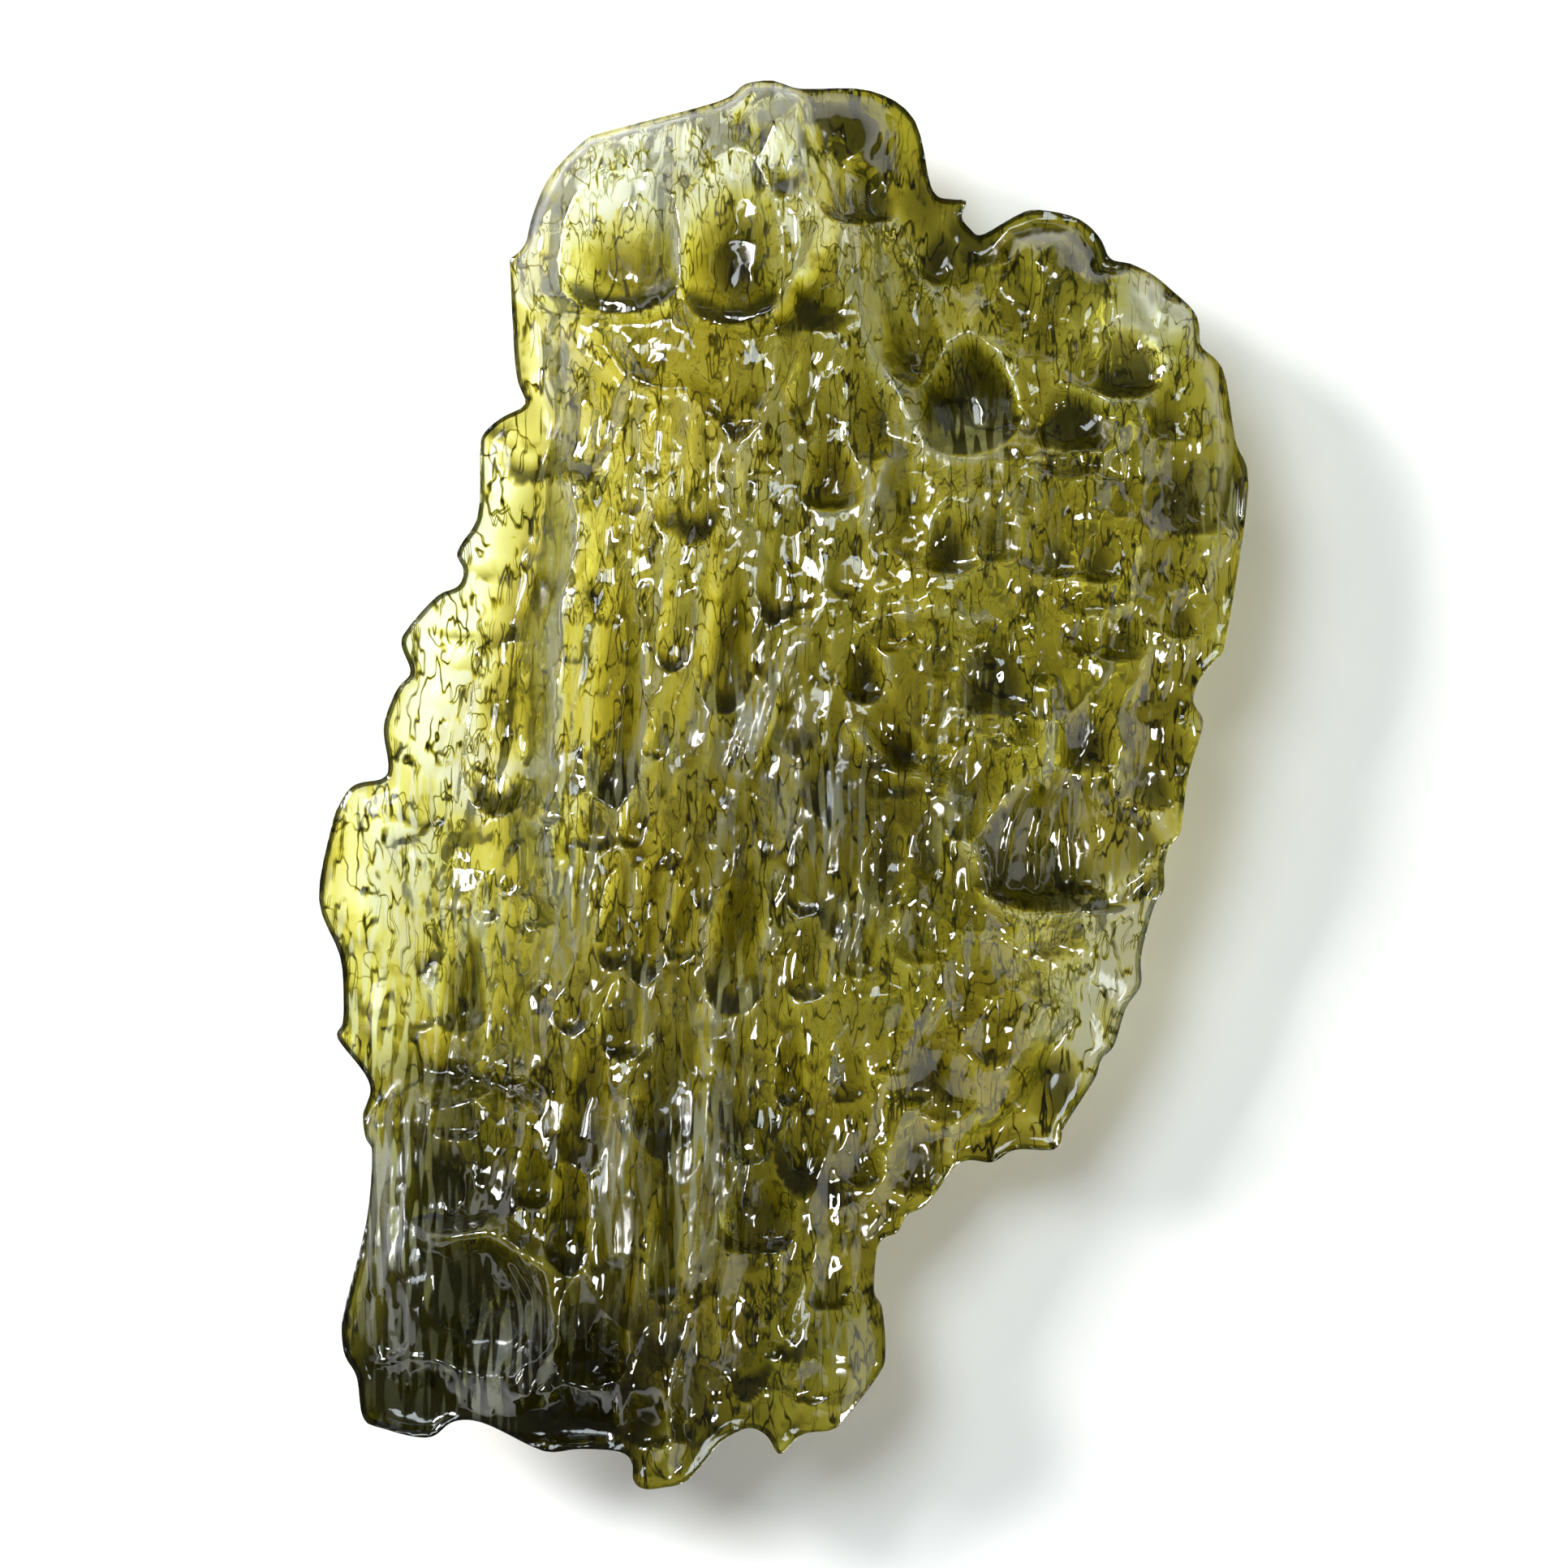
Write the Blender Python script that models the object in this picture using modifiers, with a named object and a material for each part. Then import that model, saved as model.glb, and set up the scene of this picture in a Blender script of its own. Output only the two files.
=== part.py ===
"""Moldavite: one flat piece of natural green glass that lies on its back, on a small flat spot.

+Z is up. The sculpted face looks up, the stone's narrow end points to -Y and its broad shoulder
is at +X. The origin is the middle of the underside of its box. All sizes here are millimetres,
and the last step turns them into metres.
"""

import math

import bmesh
import bpy
import numpy as np

NAME = "moldavite"
MM = 0.001

# Driving dimensions
EDGE_HEIGHT = 2.75
EDGE_GLASS = 0.17
EDGE_LEAST = 0.4
EDGE_ROUNDING = 0.3
FACE_RISE = 3.4
RISE_REACH = 3.4
BELLY_DEPTH = 2.3
BELLY_REACH = 4.0
LEAST_GLASS = 0.3
GLASS_SOFTNESS = 0.25
PIT_SPREAD = 1.22
PIT_DEEPEST = -0.5
RAISED_START = 0.3

# How the edge rises and falls on its way round: height, turn per millimetre of x and of y, start
EDGE_WAVES = [(0.3, 0.0, 0.33, 0.8), (0.2, 0.55, -0.25, 0.0)]

# The flat spot that it rests on: the middle of the swelling round it, its reach and its depth
REST_CENTRE = (0.5, 0.8)
REST_REACH = (5.0, 7.0)
REST_SWELL = 1.5

# Fineness: the blank's grid, the layers in its thickness and the triangles that are kept
CURVE_STEPS = 4
BLANK_GLASS = 1.6
GRID = 0.2
TRIANGLES = 9600

# The stone's outline, anticlockwise from the top
OUTLINE = [
    (0, 14.83), (-0.28, 14.9), (-0.84, 14.82), (-1.4, 14.45), (-3.78, 13.82), (-4.27, 13.61),
    (-5, 12.84), (-5.36, 12), (-5.5, 11.44), (-5.8, 11.12), (-5.82, 10.95), (-5.7, 8.78),
    (-5.49, 8.11), (-5.6, 7.94), (-6.02, 7.73), (-6.37, 7.41), (-6.45, 7.1), (-6.45, 6.05),
    (-6.55, 5.49), (-6.86, 5.03), (-6.93, 4.79), (-6.79, 4.51), (-6.9, 4.16), (-7.35, 3.95),
    (-7.98, 3.25), (-8.1, 2.9), (-7.9, 2.34), (-8.16, 2.03), (-8.37, 1.57), (-8.48, 1.08),
    (-8.4, 0.17), (-9.07, -0.03), (-9.38, -0.39), (-9.59, -0.95), (-9.86, -2.49), (-9.42, -3.68),
    (-9.35, -4.66), (-9.38, -5.14), (-9.49, -5.42), (-8.93, -6.16), (-8.79, -6.57), (-8.95, -7.03),
    (-8.89, -7.59), (-8.76, -7.87), (-8.88, -9.34), (-9.35, -11.23), (-9.39, -11.79),
    (-9.31, -12.21), (-9.07, -12.63), (-8.93, -13.5), (-8.47, -13.72), (-7.84, -13.88),
    (-7.42, -13.86), (-7, -13.55), (-6.37, -13.58), (-5.32, -14.07), (-4.9, -14.18),
    (-4.34, -14.11), (-3.5, -14.16), (-3.22, -14.38), (-3.19, -14.77), (-2.98, -14.95),
    (-2.59, -14.93), (-2.03, -14.77), (-1.4, -14.03), (-1.05, -13.79), (-0.7, -13.68),
    (-0.35, -13.86), (-0.08, -14.25), (0.38, -13.83), (1.01, -13.74), (1.36, -13.43),
    (2.02, -12.56), (2.16, -12.14), (2.09, -11.16), (1.92, -10.81), (2.02, -9.8), (2.41, -9.58),
    (2.62, -9.2), (3.04, -8.99), (3.6, -8.22), (3.95, -8.04), (4.44, -8.09), (4.93, -7.82),
    (5.7, -7.83), (5.91, -7.62), (5.98, -7.31), (6.61, -6.33), (6.75, -5.91), (7.03, -5.6),
    (7.28, -4.8), (7.6, -4.31), (7.6, -3.68), (7.87, -2.63), (8.08, -2.28), (8.08, -1.79),
    (8.19, -1.37), (8.43, -1.02), (8.57, 0.1), (8.89, 1.18), (8.85, 1.43), (8.68, 1.74),
    (8.82, 2.2), (9.17, 2.62), (9.38, 3.07), (9.86, 6.26), (9.59, 7.24), (9.38, 8.57), (9.17, 8.99),
    (8.85, 9.27), (8.82, 9.69), (8.68, 10.04), (8.26, 10.43), (7.84, 10.78), (7.35, 11.02),
    (6.93, 11.12), (6.75, 11.51), (6.44, 11.86), (6.02, 12.07), (5.32, 12.18), (4.9, 12.04),
    (4.2, 11.65), (3.99, 11.76), (3.78, 12.04), (3.88, 12.38), (3.57, 12.42), (3.15, 12.63),
    (2.78, 14.1), (1.82, 14.71), (0.42, 14.73),
]

# Areas of the face that lie higher or lower than the rest: height, softness of the step and the
# loop round each. A loop runs past the stone's edge where the step doesn't show there.
STEPS = [
    # The thin left flank, below the crest of the body
    (-1.45, 0.9, [
        (-5.3, 10.4), (-5.0, 7.5), (-4.85, 5.0), (-5.1, 3.0), (-5.0, 0.5), (-5.3, -1.0),
        (-5.0, -3.0), (-5.5, -4.8), (-6.4, -5.8), (-11.0, -6.2), (-11.5, 0.0), (-9.0, 7.0), (-7.0, 11.0),
    ]),
    # The boss at the top left, whose lower side is a ledge
    (0.85, 0.3, [
        (-7.5, 10.4), (-7.0, 14.0), (-3.4, 16.5), (0.1, 16.5), (0.4, 14.0), (0.6, 13.0),
        (1.0, 11.8), (0.4, 10.5), (-0.3, 9.65), (-1.9, 9.7), (-2.3, 10.0), (-3.3, 9.9), (-4.6, 10.1),
    ]),
    # The thin rim at the lower right, outside the lip of the fan-shaped pit
    (-1.1, 0.8, [
        (4.4, -3.3), (5.6, -3.2), (7.2, -2.9), (9.5, -2.0), (9.6, -5.0), (8.0, -8.5), (6.0, -10.5),
        (4.0, -9.0), (4.6, -7.2), (5.6, -5.2),
    ]),
    # The notch between the top lobe and the right shoulder
    (-0.8, 0.8, [(2.4, 12.0), (3.0, 10.8), (4.2, 10.6), (5.0, 13.5), (2.6, 14.5)]),
]

# Broad swellings of the face: x, y, reach across, reach along, lean in degrees, height
SWELLINGS = [
    (-2.2, 8.6, 2.0, 1.1, 0, 0.35),
    (1.2, 10.2, 0.8, 2.6, -8, 0.6),
    (1.4, 14.0, 1.2, 0.7, 0, 0.35),
    (5.5, 11.1, 1.2, 0.9, 0, 0.55),
    (7.9, 10.2, 0.8, 0.7, 0, 0.45),
    (8.8, 7.9, 0.6, 1.1, 0, 0.35),
    (9.1, 5.6, 0.5, 0.8, 0, 0.25),
    (8.7, 1.2, 0.4, 0.5, 0, 0.3),
    (-4.9, 9.2, 0.7, 1.2, 0, 0.25),
    (-6.0, 6.6, 0.6, 1.0, 0, 0.3),
    (-7.2, 2.6, 0.7, 1.0, 20, 0.3),
    (-7.6, 0.9, 0.6, 0.7, 10, 0.25),
    (-8.6, -1.4, 0.8, 1.0, 10, 0.35),
    (-8.5, -4.6, 0.8, 0.9, 0, 0.3),
    (-2.3, 3.2, 1.6, 3.0, 7, 0.3),
    (3.6, 4.6, 1.2, 1.6, 7, 0.35),
    (0.4, -0.6, 1.2, 2.0, 7, 0.35),
    (2.6, -4.2, 1.6, 1.6, 0, 0.4),
    (5.0, -5.2, 1.4, 1.2, -30, 0.3),
    (-8.3, -8.8, 0.5, 2.2, 0, 0.4),
    (-5.2, -9.6, 2.6, 3.0, 0, 0.55),
    (1.3, -12.2, 0.6, 1.1, 0, 0.3),
    (-6.6, -12.6, 0.7, 0.6, 0, 0.4),
    (0.4, -8.0, 1.4, 1.4, 0, 0.3),
]

# Ridges, and grooves where the height is below zero: height, reach to each side, line
RIDGES = [
    # The crest between the left flank and the body
    (0.45, 0.3, [(-4.5, 6.2), (-4.35, 5.0), (-4.85, 3.0), (-4.8, 1.2), (-5.0, -0.8), (-4.9, -2.3)]),
    # The boss: its rim, and the ridge between its two bowls
    (0.25, 0.5, [(-4.7, 10.6), (-4.6, 12.0), (-3.7, 13.2), (-2.3, 13.7)]),
    (0.4, 0.28, [(-2.2, 13.8), (-2.3, 12.4), (-2.2, 10.4)]),
    (0.4, 0.4, [(-0.1, 13.9), (0.3, 12.8), (0.7, 11.8), (0.5, 10.8)]),
    # The fold below the boss
    (-0.3, 0.22, [(-3.8, 9.2), (-3.3, 8.6), (-2.8, 8.35), (-2.0, 8.35), (-1.6, 8.1)]),
    # Between the long trough and the body
    (0.35, 0.3, [(1.3, 12.6), (1.6, 10.8), (2.1, 9.0), (2.6, 7.6)]),
    (0.35, 0.22, [(2.2, 6.9), (2.0, 6.2), (1.8, 5.4)]),
    # Silvery ribs down the middle
    (0.35, 0.25, [(0.3, 2.9), (-0.3, 1.4), (-0.9, 0.2)]),
    (0.35, 0.25, [(-0.3, -3.2), (-1.0, -4.2), (-1.4, -5.0)]),
    (0.4, 0.3, [(-1.4, -6.0), (-1.8, -8.0), (-2.0, -10.2)]),
    (0.4, 0.28, [(-3.2, -6.6), (-3.3, -8.0), (-3.5, -9.8)]),
    # The raised lips of the pits at the right
    (0.4, 0.22, [(1.6, 1.0), (2.4, 0.2), (3.4, -0.1)]),
    (0.45, 0.2, [(4.0, -1.4), (4.3, -2.4), (5.0, -2.8), (6.0, -2.7), (7.1, -2.3), (8.1, -1.6)]),
    (0.4, 0.25, [(5.55, 1.9), (5.6, 0.8), (5.5, 0.0)]),
    (0.3, 0.25, [(2.0, 3.4), (3.1, 3.6), (4.0, 3.4)]),
    (0.3, 0.25, [(5.0, 7.0), (5.9, 6.8), (7.0, 7.2)]),
    # The belt of dark folds across the lower left
    (-0.5, 0.28, [(-8.3, -5.9), (-7.4, -6.25), (-6.4, -6.3), (-5.4, -6.6)]),
    # The rib between the lower-left pits
    (0.4, 0.28, [(-7.4, -9.6), (-6.2, -9.45), (-4.9, -10.2), (-4.8, -11.6), (-5.4, -12.8)]),
]

# Pits: x, y, half width, half length, lean in degrees, depth. Each fades out towards its upper end
# and has a steep wall at its lower end.
PITS = [
    # The boss and its surroundings
    (-3.4, 11.5, 1.15, 1.4, 0, 1.15), (-1.1, 11.4, 0.95, 1.6, 0, 1.15),
    (-4.95, 11.6, 0.25, 0.55, 0, 0.35), (1.5, 12.5, 0.85, 0.65, 0, 0.9),
    (-0.9, 7.9, 0.4, 0.45, 0, 0.4), (-0.35, 6.95, 0.35, 0.5, 0, 0.4),
    (-5.2, 9.3, 0.45, 0.7, 0, 0.3),
    # The long trough at the upper right and the deep pit at its foot
    (2.35, 10.4, 0.75, 1.9, -18, 1.0), (2.75, 9.1, 0.6, 0.65, 0, 0.8),
    (3.85, 8.2, 0.95, 1.15, -10, 1.6), (3.3, 11.3, 0.5, 0.7, 20, 0.6),
    # The right shoulder
    (5.0, 10.2, 0.6, 0.7, 0, 0.4), (7.2, 9.0, 0.85, 0.8, 0, 0.8), (6.05, 7.65, 0.85, 0.7, 0, 0.8),
    (5.1, 7.2, 0.3, 0.35, 0, 0.4), (5.0, 6.0, 0.35, 0.4, 0, 0.4), (4.2, 5.6, 0.35, 0.45, 0, 0.4),
    (5.7, 4.95, 0.55, 0.6, 0, 0.5), (6.55, 4.85, 0.5, 0.6, 0, 0.5), (6.2, 3.9, 0.5, 0.35, 0, 0.35),
    (6.15, 3.1, 0.55, 0.35, 0, 0.4), (7.1, 3.1, 0.5, 0.5, 0, 0.45), (8.4, 3.7, 0.45, 0.6, 0, 0.5),
    (8.0, 6.2, 0.7, 0.8, 0, 0.5), (7.2, 6.2, 0.5, 0.6, 0, 0.4),
    # The upper middle
    (0.95, 6.55, 0.65, 0.75, 0, 0.7), (-3.4, 6.6, 0.45, 1.0, 3, 0.35),
    (-2.4, 6.4, 0.4, 1.0, -3, 0.35), (0.3, 4.6, 0.5, 1.0, 7, 0.35), (2.7, 5.6, 0.5, 0.9, 0, 0.4),
    (1.4, 4.7, 0.45, 0.8, 5, 0.35),
    # The left flank
    (-5.95, 1.3, 0.6, 1.75, 5, 0.6), (-5.4, 1.6, 0.28, 1.2, 4, 0.5), (-5.9, 5.0, 0.5, 0.8, 10, 0.35),
    (-6.9, 3.6, 0.5, 0.5, 10, 0.3), (-7.6, -0.3, 0.6, 0.6, 10, 0.35), (-7.0, -1.6, 0.7, 1.2, 5, 0.4),
    (-8.9, -3.0, 0.5, 0.6, 0, 0.35), (-6.85, -4.1, 0.5, 1.15, 0, 0.9), (-7.8, -4.7, 0.35, 0.5, 0, 0.4),
    (-6.3, -2.4, 0.3, 0.5, 5, 0.4),
    # The flutes of the middle
    (-3.5, 2.2, 0.55, 2.4, 3, 0.95), (-1.12, 3.3, 0.5, 1.7, 4, 0.9), (-2.6, 1.1, 0.35, 0.6, 5, 0.45),
    (-2.2, 3.6, 0.4, 1.2, 5, 0.35), (-4.0, -0.75, 0.52, 0.6, 0, 0.6), (-4.9, -0.5, 0.25, 0.35, 0, 0.3),
    (-5.15, -2.7, 0.36, 0.34, 0, 0.55), (-3.5, -2.7, 0.36, 1.1, 6, 0.6), (-2.8, -2.6, 0.32, 1.0, 6, 0.6),
    (-2.1, -2.7, 0.38, 1.0, 6, 0.65), (-2.3, -0.9, 0.4, 0.9, 7, 0.45), (-3.1, -0.6, 0.35, 0.7, 7, 0.45),
    (-0.9, -2.7, 0.62, 1.95, 4, 1.15), (-0.95, -0.6, 0.45, 0.7, 7, 0.4), (0.5, -1.6, 0.5, 1.1, 7, 0.5),
    (0.5, -3.6, 0.5, 0.9, 5, 0.5), (-3.4, -4.9, 0.5, 0.8, 7, 0.5), (-2.3, -5.0, 0.5, 0.8, 7, 0.5),
    (-4.4, -4.3, 0.4, 0.9, 7, 0.5),
    # The right side
    (1.65, 2.4, 0.45, 0.68, 0, 0.7), (1.7, 3.9, 0.3, 0.6, 0, 0.3), (0.6, 1.9, 0.3, 0.4, 0, 0.35),
    (2.35, 0.85, 0.65, 0.65, 0, 0.6), (3.25, 0.15, 0.4, 0.4, 0, 0.4), (3.4, 2.7, 0.5, 0.6, 5, 0.4),
    (4.3, 1.5, 0.4, 0.5, 0, 0.4), (5.0, 1.2, 0.38, 0.4, 0, 0.45), (5.35, 2.5, 0.32, 0.4, 0, 0.45),
    (6.35, 0.95, 0.7, 0.8, 0, 0.65), (7.5, 1.55, 0.38, 0.38, 0, 0.4), (7.65, 0.1, 0.75, 0.7, 0, 0.7),
    (6.05, -1.15, 2.0, 1.4, 0, 1.6), (4.65, -2.0, 0.45, 0.45, 0, 0.6), (2.1, -1.6, 0.5, 0.9, 5, 0.5),
    (3.1, -1.3, 0.45, 0.8, 5, 0.45), (1.6, -3.3, 0.45, 0.7, 5, 0.45), (2.8, -3.0, 0.45, 0.7, 5, 0.4),
    (5.9, -3.4, 0.5, 0.4, 0, 0.35), (3.9, -4.4, 0.5, 0.6, 0, 0.4), (3.4, -6.3, 0.6, 0.8, -10, 0.45),
    # The lower middle
    (0.12, -5.8, 0.4, 0.95, 0, 0.75), (1.3, -5.9, 0.45, 0.8, 0, 0.45), (1.6, -7.8, 0.5, 0.7, 0, 0.5),
    (-0.55, -9.0, 0.75, 0.85, 0, 0.9), (-0.6, -7.3, 0.45, 0.7, 3, 0.5), (0.9, -10.5, 0.5, 0.6, 0, 0.5),
    (-0.5, -11.3, 0.6, 0.9, 0, 0.6), (-1.6, -12.4, 0.5, 0.8, -20, 0.5), (0.6, -12.6, 0.4, 0.5, 0, 0.35),
    (-2.45, -9.5, 0.35, 1.3, 3, 0.7),
    # The lower left
    (-6.5, -6.35, 0.6, 0.3, 0, 0.5), (-6.7, -7.0, 0.65, 0.5, 0, 0.5), (-5.3, -8.1, 0.42, 0.75, 0, 0.7),
    (-7.1, -8.5, 0.9, 0.85, 0, 0.7), (-4.5, -8.9, 0.42, 1.2, 3, 0.6), (-4.2, -7.0, 0.4, 0.7, 5, 0.5),
    (-6.2, -10.9, 1.35, 1.3, 0, 1.2), (-8.3, -11.3, 0.45, 0.8, 0, 0.5), (-7.85, -13.0, 0.95, 0.7, 0, 0.9),
    (-4.1, -11.5, 0.75, 1.05, 0, 0.9), (-4.7, -13.3, 1.2, 0.6, 0, 0.7), (-2.9, -13.4, 0.5, 0.6, 0, 0.5),
]

# The small pits of the face, long at its left and round at its right, and those of the underside:
# width and length of their cells, lean, depth and seed
LONG_SKIN = (0.95, 3.0, 7.0, 0.6, 11)
ROUND_SKIN = (1.25, 1.4, 0.0, 0.65, 13)
ROUND_FROM, ROUND_TO = 0.0, 3.0
UNDERSIDE_SKIN = (1.9, 2.7, 5.0, 0.75, 23)

# The least and the further random part of each small pit's place in its cell, reach and depth
PLACE_LEAST, PLACE_SPAN = 0.2, 0.6
REACH_LEAST, REACH_SPAN = 0.55, 0.5
DEPTH_LEAST, DEPTH_SPAN = 0.15, 0.85

# Calm zones, where the small pits fade: x, y, reach across, reach along, lean, share
CALM_ZONES = [
    (-7.8, -1.0, 2.0, 4.0, 8, 0.7), (-6.9, 4.0, 1.2, 3.0, 12, 0.7), (-5.2, 8.8, 0.9, 1.6, 0, 0.7),
    (-2.2, 8.8, 2.0, 0.9, 0, 0.8), (-3.3, 11.8, 1.5, 1.7, 0, 0.9), (-1.1, 11.8, 1.1, 1.8, 0, 0.9),
    (1.4, 13.9, 1.6, 0.8, 0, 0.9), (5.5, 11.1, 1.2, 0.9, 0, 0.7), (3.9, 8.2, 1.0, 1.2, 0, 0.7),
    (6.0, -1.2, 2.0, 1.3, 0, 0.8), (-8.3, -9.0, 0.8, 2.5, 0, 0.6), (1.3, -12.4, 0.8, 1.2, 0, 0.7),
    (8.8, 7.9, 0.6, 1.2, 0, 0.6), (5.0, -7.1, 0.9, 0.7, 0, 0.7), (-6.2, -10.9, 1.2, 1.2, 0, 0.6),
]

GLASS_COLOUR = (0.30, 0.29, 0.07, 1.0)
GLASS_ROUGHNESS = 0.2
GLASS_IOR = 1.49


def closed_curve(points, steps):
    """A smooth closed line through the points, with this many steps from one to the next."""
    here = np.array(points, float)
    before, after, later = (np.roll(here, shift, axis=0) for shift in (1, -1, -2))
    line = []
    for step in range(steps):
        t = step / steps
        bend = 2 * before - 5 * here + 4 * after - later
        twist = 3 * here - 3 * after + later - before
        line.append(here + 0.5 * ((after - before) * t + bend * t**2 + twist * t**3))
    return np.stack(line, axis=1).reshape(-1, 2)


def smooth(t):
    t = np.clip(t, 0, 1)
    return t * t * (3 - 2 * t)


def distance_to_line(places, corners):
    """Distance from each place to an open line through the corners."""
    nearest = np.full(len(places), np.inf)
    for start, end in zip(corners[:-1], corners[1:]):
        along = end - start
        offset = places - start
        share = np.clip(offset @ along / (along @ along), 0, 1)
        gap = offset - share[:, None] * along
        nearest = np.minimum(nearest, (gap**2).sum(axis=1))
    return np.sqrt(nearest)


def inside_loop(places, corners):
    """Whether each place lies inside the closed loop through the corners."""
    inside = np.zeros(len(places), bool)
    for start, end in zip(corners, np.roll(corners, -1, axis=0)):
        if start[1] == end[1]:
            continue
        crosses = (start[1] > places[:, 1]) != (end[1] > places[:, 1])
        meets = start[0] + (places[:, 1] - start[1]) * (end[0] - start[0]) / (end[1] - start[1])
        inside ^= crosses & (places[:, 0] < meets)
    return inside


def depth_inside(places, corners):
    """Distance to a closed loop, below zero outside it."""
    distance = distance_to_line(places, np.vstack([corners, corners[:1]]))
    return np.where(inside_loop(places, corners), distance, -distance)


def turned(places, centre, lean):
    """Places measured across and along a direction that leans this far from +Y towards +X."""
    angle = math.radians(lean)
    offset = places - np.array(centre)
    across = offset[:, 0] * math.cos(angle) - offset[:, 1] * math.sin(angle)
    along = offset[:, 0] * math.sin(angle) + offset[:, 1] * math.cos(angle)
    return across, along


def drop_shape(across, along):
    """One pit, 1 at its deepest, where across and along run from -1 to 1 over it."""
    stretch = np.where(along > PIT_DEEPEST, 1 - PIT_DEEPEST, 1 + PIT_DEEPEST)
    far = across**2 + ((along - PIT_DEEPEST) / stretch) ** 2
    return np.clip(1 - far, 0, None)


def steps_height(places):
    total = np.zeros(len(places))
    for height, softness, corners in STEPS:
        loop = closed_curve(corners, CURVE_STEPS)
        total += height * smooth(0.5 + 0.5 * depth_inside(places, loop) / softness)
    return total


def swellings_height(places):
    total = np.zeros(len(places))
    for x, y, reach_across, reach_along, lean, height in SWELLINGS:
        across, along = turned(places, (x, y), lean)
        total += height * np.exp(-((across / reach_across) ** 2) - (along / reach_along) ** 2)
    return total


def ridges_height(places):
    total = np.zeros(len(places))
    for height, reach, corners in RIDGES:
        distance = distance_to_line(places, np.array(corners))
        total += height * np.exp(-((distance / reach) ** 2))
    return total


def pits_depth(places):
    """The named pits: where two overlap, the deeper one counts, which leaves a sharp edge between."""
    deepest = np.zeros(len(places))
    for x, y, half_width, half_length, lean, depth in PITS:
        across, along = turned(places, (x, y), lean)
        drop = drop_shape(across / (PIT_SPREAD * half_width), along / (PIT_SPREAD * half_length))
        deepest = np.maximum(deepest, depth * drop)
    return deepest


def skin_depth(places, skin):
    """Small pits, one to a cell of a leaning grid, each shifted and sized by the seeded numbers."""
    cell_width, cell_length, lean, depth, seed = skin
    cells = 64
    jitter = np.random.default_rng(seed).random((5, cells, cells))
    across, along = turned(places, (0, 0), lean)
    across, along = across / cell_width, along / cell_length
    deepest = np.zeros(len(places))
    for near_column in (-1, 0, 1):
        column = np.floor(across).astype(int) + near_column
        staggered = along + jitter[4, column % cells, 0]
        for near_row in (-1, 0, 1):
            row = np.floor(staggered).astype(int) + near_row
            shift_x, shift_y, size, share = jitter[:4, column % cells, row % cells]
            x = across - (column + PLACE_LEAST + PLACE_SPAN * shift_x)
            y = staggered - (row + shift_y)
            reach = REACH_LEAST + REACH_SPAN * size
            drop = drop_shape(x / reach, y / reach)
            deepest = np.maximum(deepest, (DEPTH_LEAST + DEPTH_SPAN * share) * drop)
    return depth * deepest


def zones_share(places, zones):
    """How far each place lies in the zones, from 0 to 1."""
    total = np.zeros(len(places))
    for x, y, reach_across, reach_along, lean, share in zones:
        across, along = turned(places, (x, y), lean)
        total += share * np.exp(-((across / reach_across) ** 2) - (along / reach_along) ** 2)
    return np.clip(total, 0, 1)


def edge_wave(places):
    """How far the edge rises and falls on its way round."""
    x, y = places.T
    return sum(height * np.sin(per_x * x + per_y * y + start) for height, per_x, per_y, start in EDGE_WAVES)


def edge_glass(depth):
    """Half the thickness near the edge, which is rounded over."""
    t = np.clip(depth / EDGE_ROUNDING, 0, 1)
    return EDGE_GLASS * (EDGE_LEAST + (1 - EDGE_LEAST) * np.sqrt(t * (2 - t)))


def underside_height(places, depth):
    x, y = (places - np.array(REST_CENTRE)).T
    swell = np.exp(-((x / REST_REACH[0]) ** 2) - (y / REST_REACH[1]) ** 2)
    height = EDGE_HEIGHT + edge_wave(places) - edge_glass(depth)
    height -= BELLY_DEPTH * (1 - np.exp(-depth / BELLY_REACH)) + REST_SWELL * swell
    height += skin_depth(places, UNDERSIDE_SKIN) * smooth(depth) * (1 - smooth(2 * swell - 1))
    return np.maximum(height, 0)


def face_height(places, depth):
    height = EDGE_HEIGHT + edge_wave(places) + edge_glass(depth)
    height += FACE_RISE * (1 - np.exp(-depth / RISE_REACH))
    within = smooth(depth / EDGE_ROUNDING)
    steps = steps_height(places)
    height += np.minimum(steps, 0) + smooth(depth / RAISED_START) * np.maximum(steps, 0)
    height += within * (swellings_height(places) + ridges_height(places))
    rough = 1 - zones_share(places, CALM_ZONES)
    turning_round = smooth((places[:, 0] - ROUND_FROM) / (ROUND_TO - ROUND_FROM))
    long_pits = rough * (1 - turning_round) * skin_depth(places, LONG_SKIN)
    round_pits = rough * turning_round * skin_depth(places, ROUND_SKIN)
    pits = np.maximum(pits_depth(places), np.maximum(long_pits, round_pits))
    return height - within * pits


def thick_enough(high, low):
    """The face, lifted softly where it comes closer to the underside than the least thickness."""
    spare = high - low - LEAST_GLASS
    return low + LEAST_GLASS + (spare + np.sqrt(spare**2 + GLASS_SOFTNESS**2)) / 2


def sculpted(points):
    """The blank's points moved onto the stone's two faces. Points between them share the thickness."""
    places = points[:, :2]
    depth = np.maximum(depth_inside(places, closed_curve(OUTLINE, CURVE_STEPS)), 0)
    low = underside_height(places, depth)
    high = thick_enough(face_height(places, depth), low)
    level = points[:, 2]
    share = (level - level.min()) / (level.max() - level.min())
    return np.column_stack([places, low + share * (high - low)])


def points_of(mesh):
    values = np.empty(len(mesh.vertices) * 3, np.float32)
    mesh.vertices.foreach_get("co", values)
    return values.reshape(-1, 3).astype(float)


def move_points(mesh, points):
    mesh.vertices.foreach_set("co", points.astype(np.float32).ravel())
    mesh.update()


def evaluated_mesh(obj):
    graph = bpy.context.evaluated_depsgraph_get()
    return bpy.data.meshes.new_from_object(obj.evaluated_get(graph))


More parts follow.
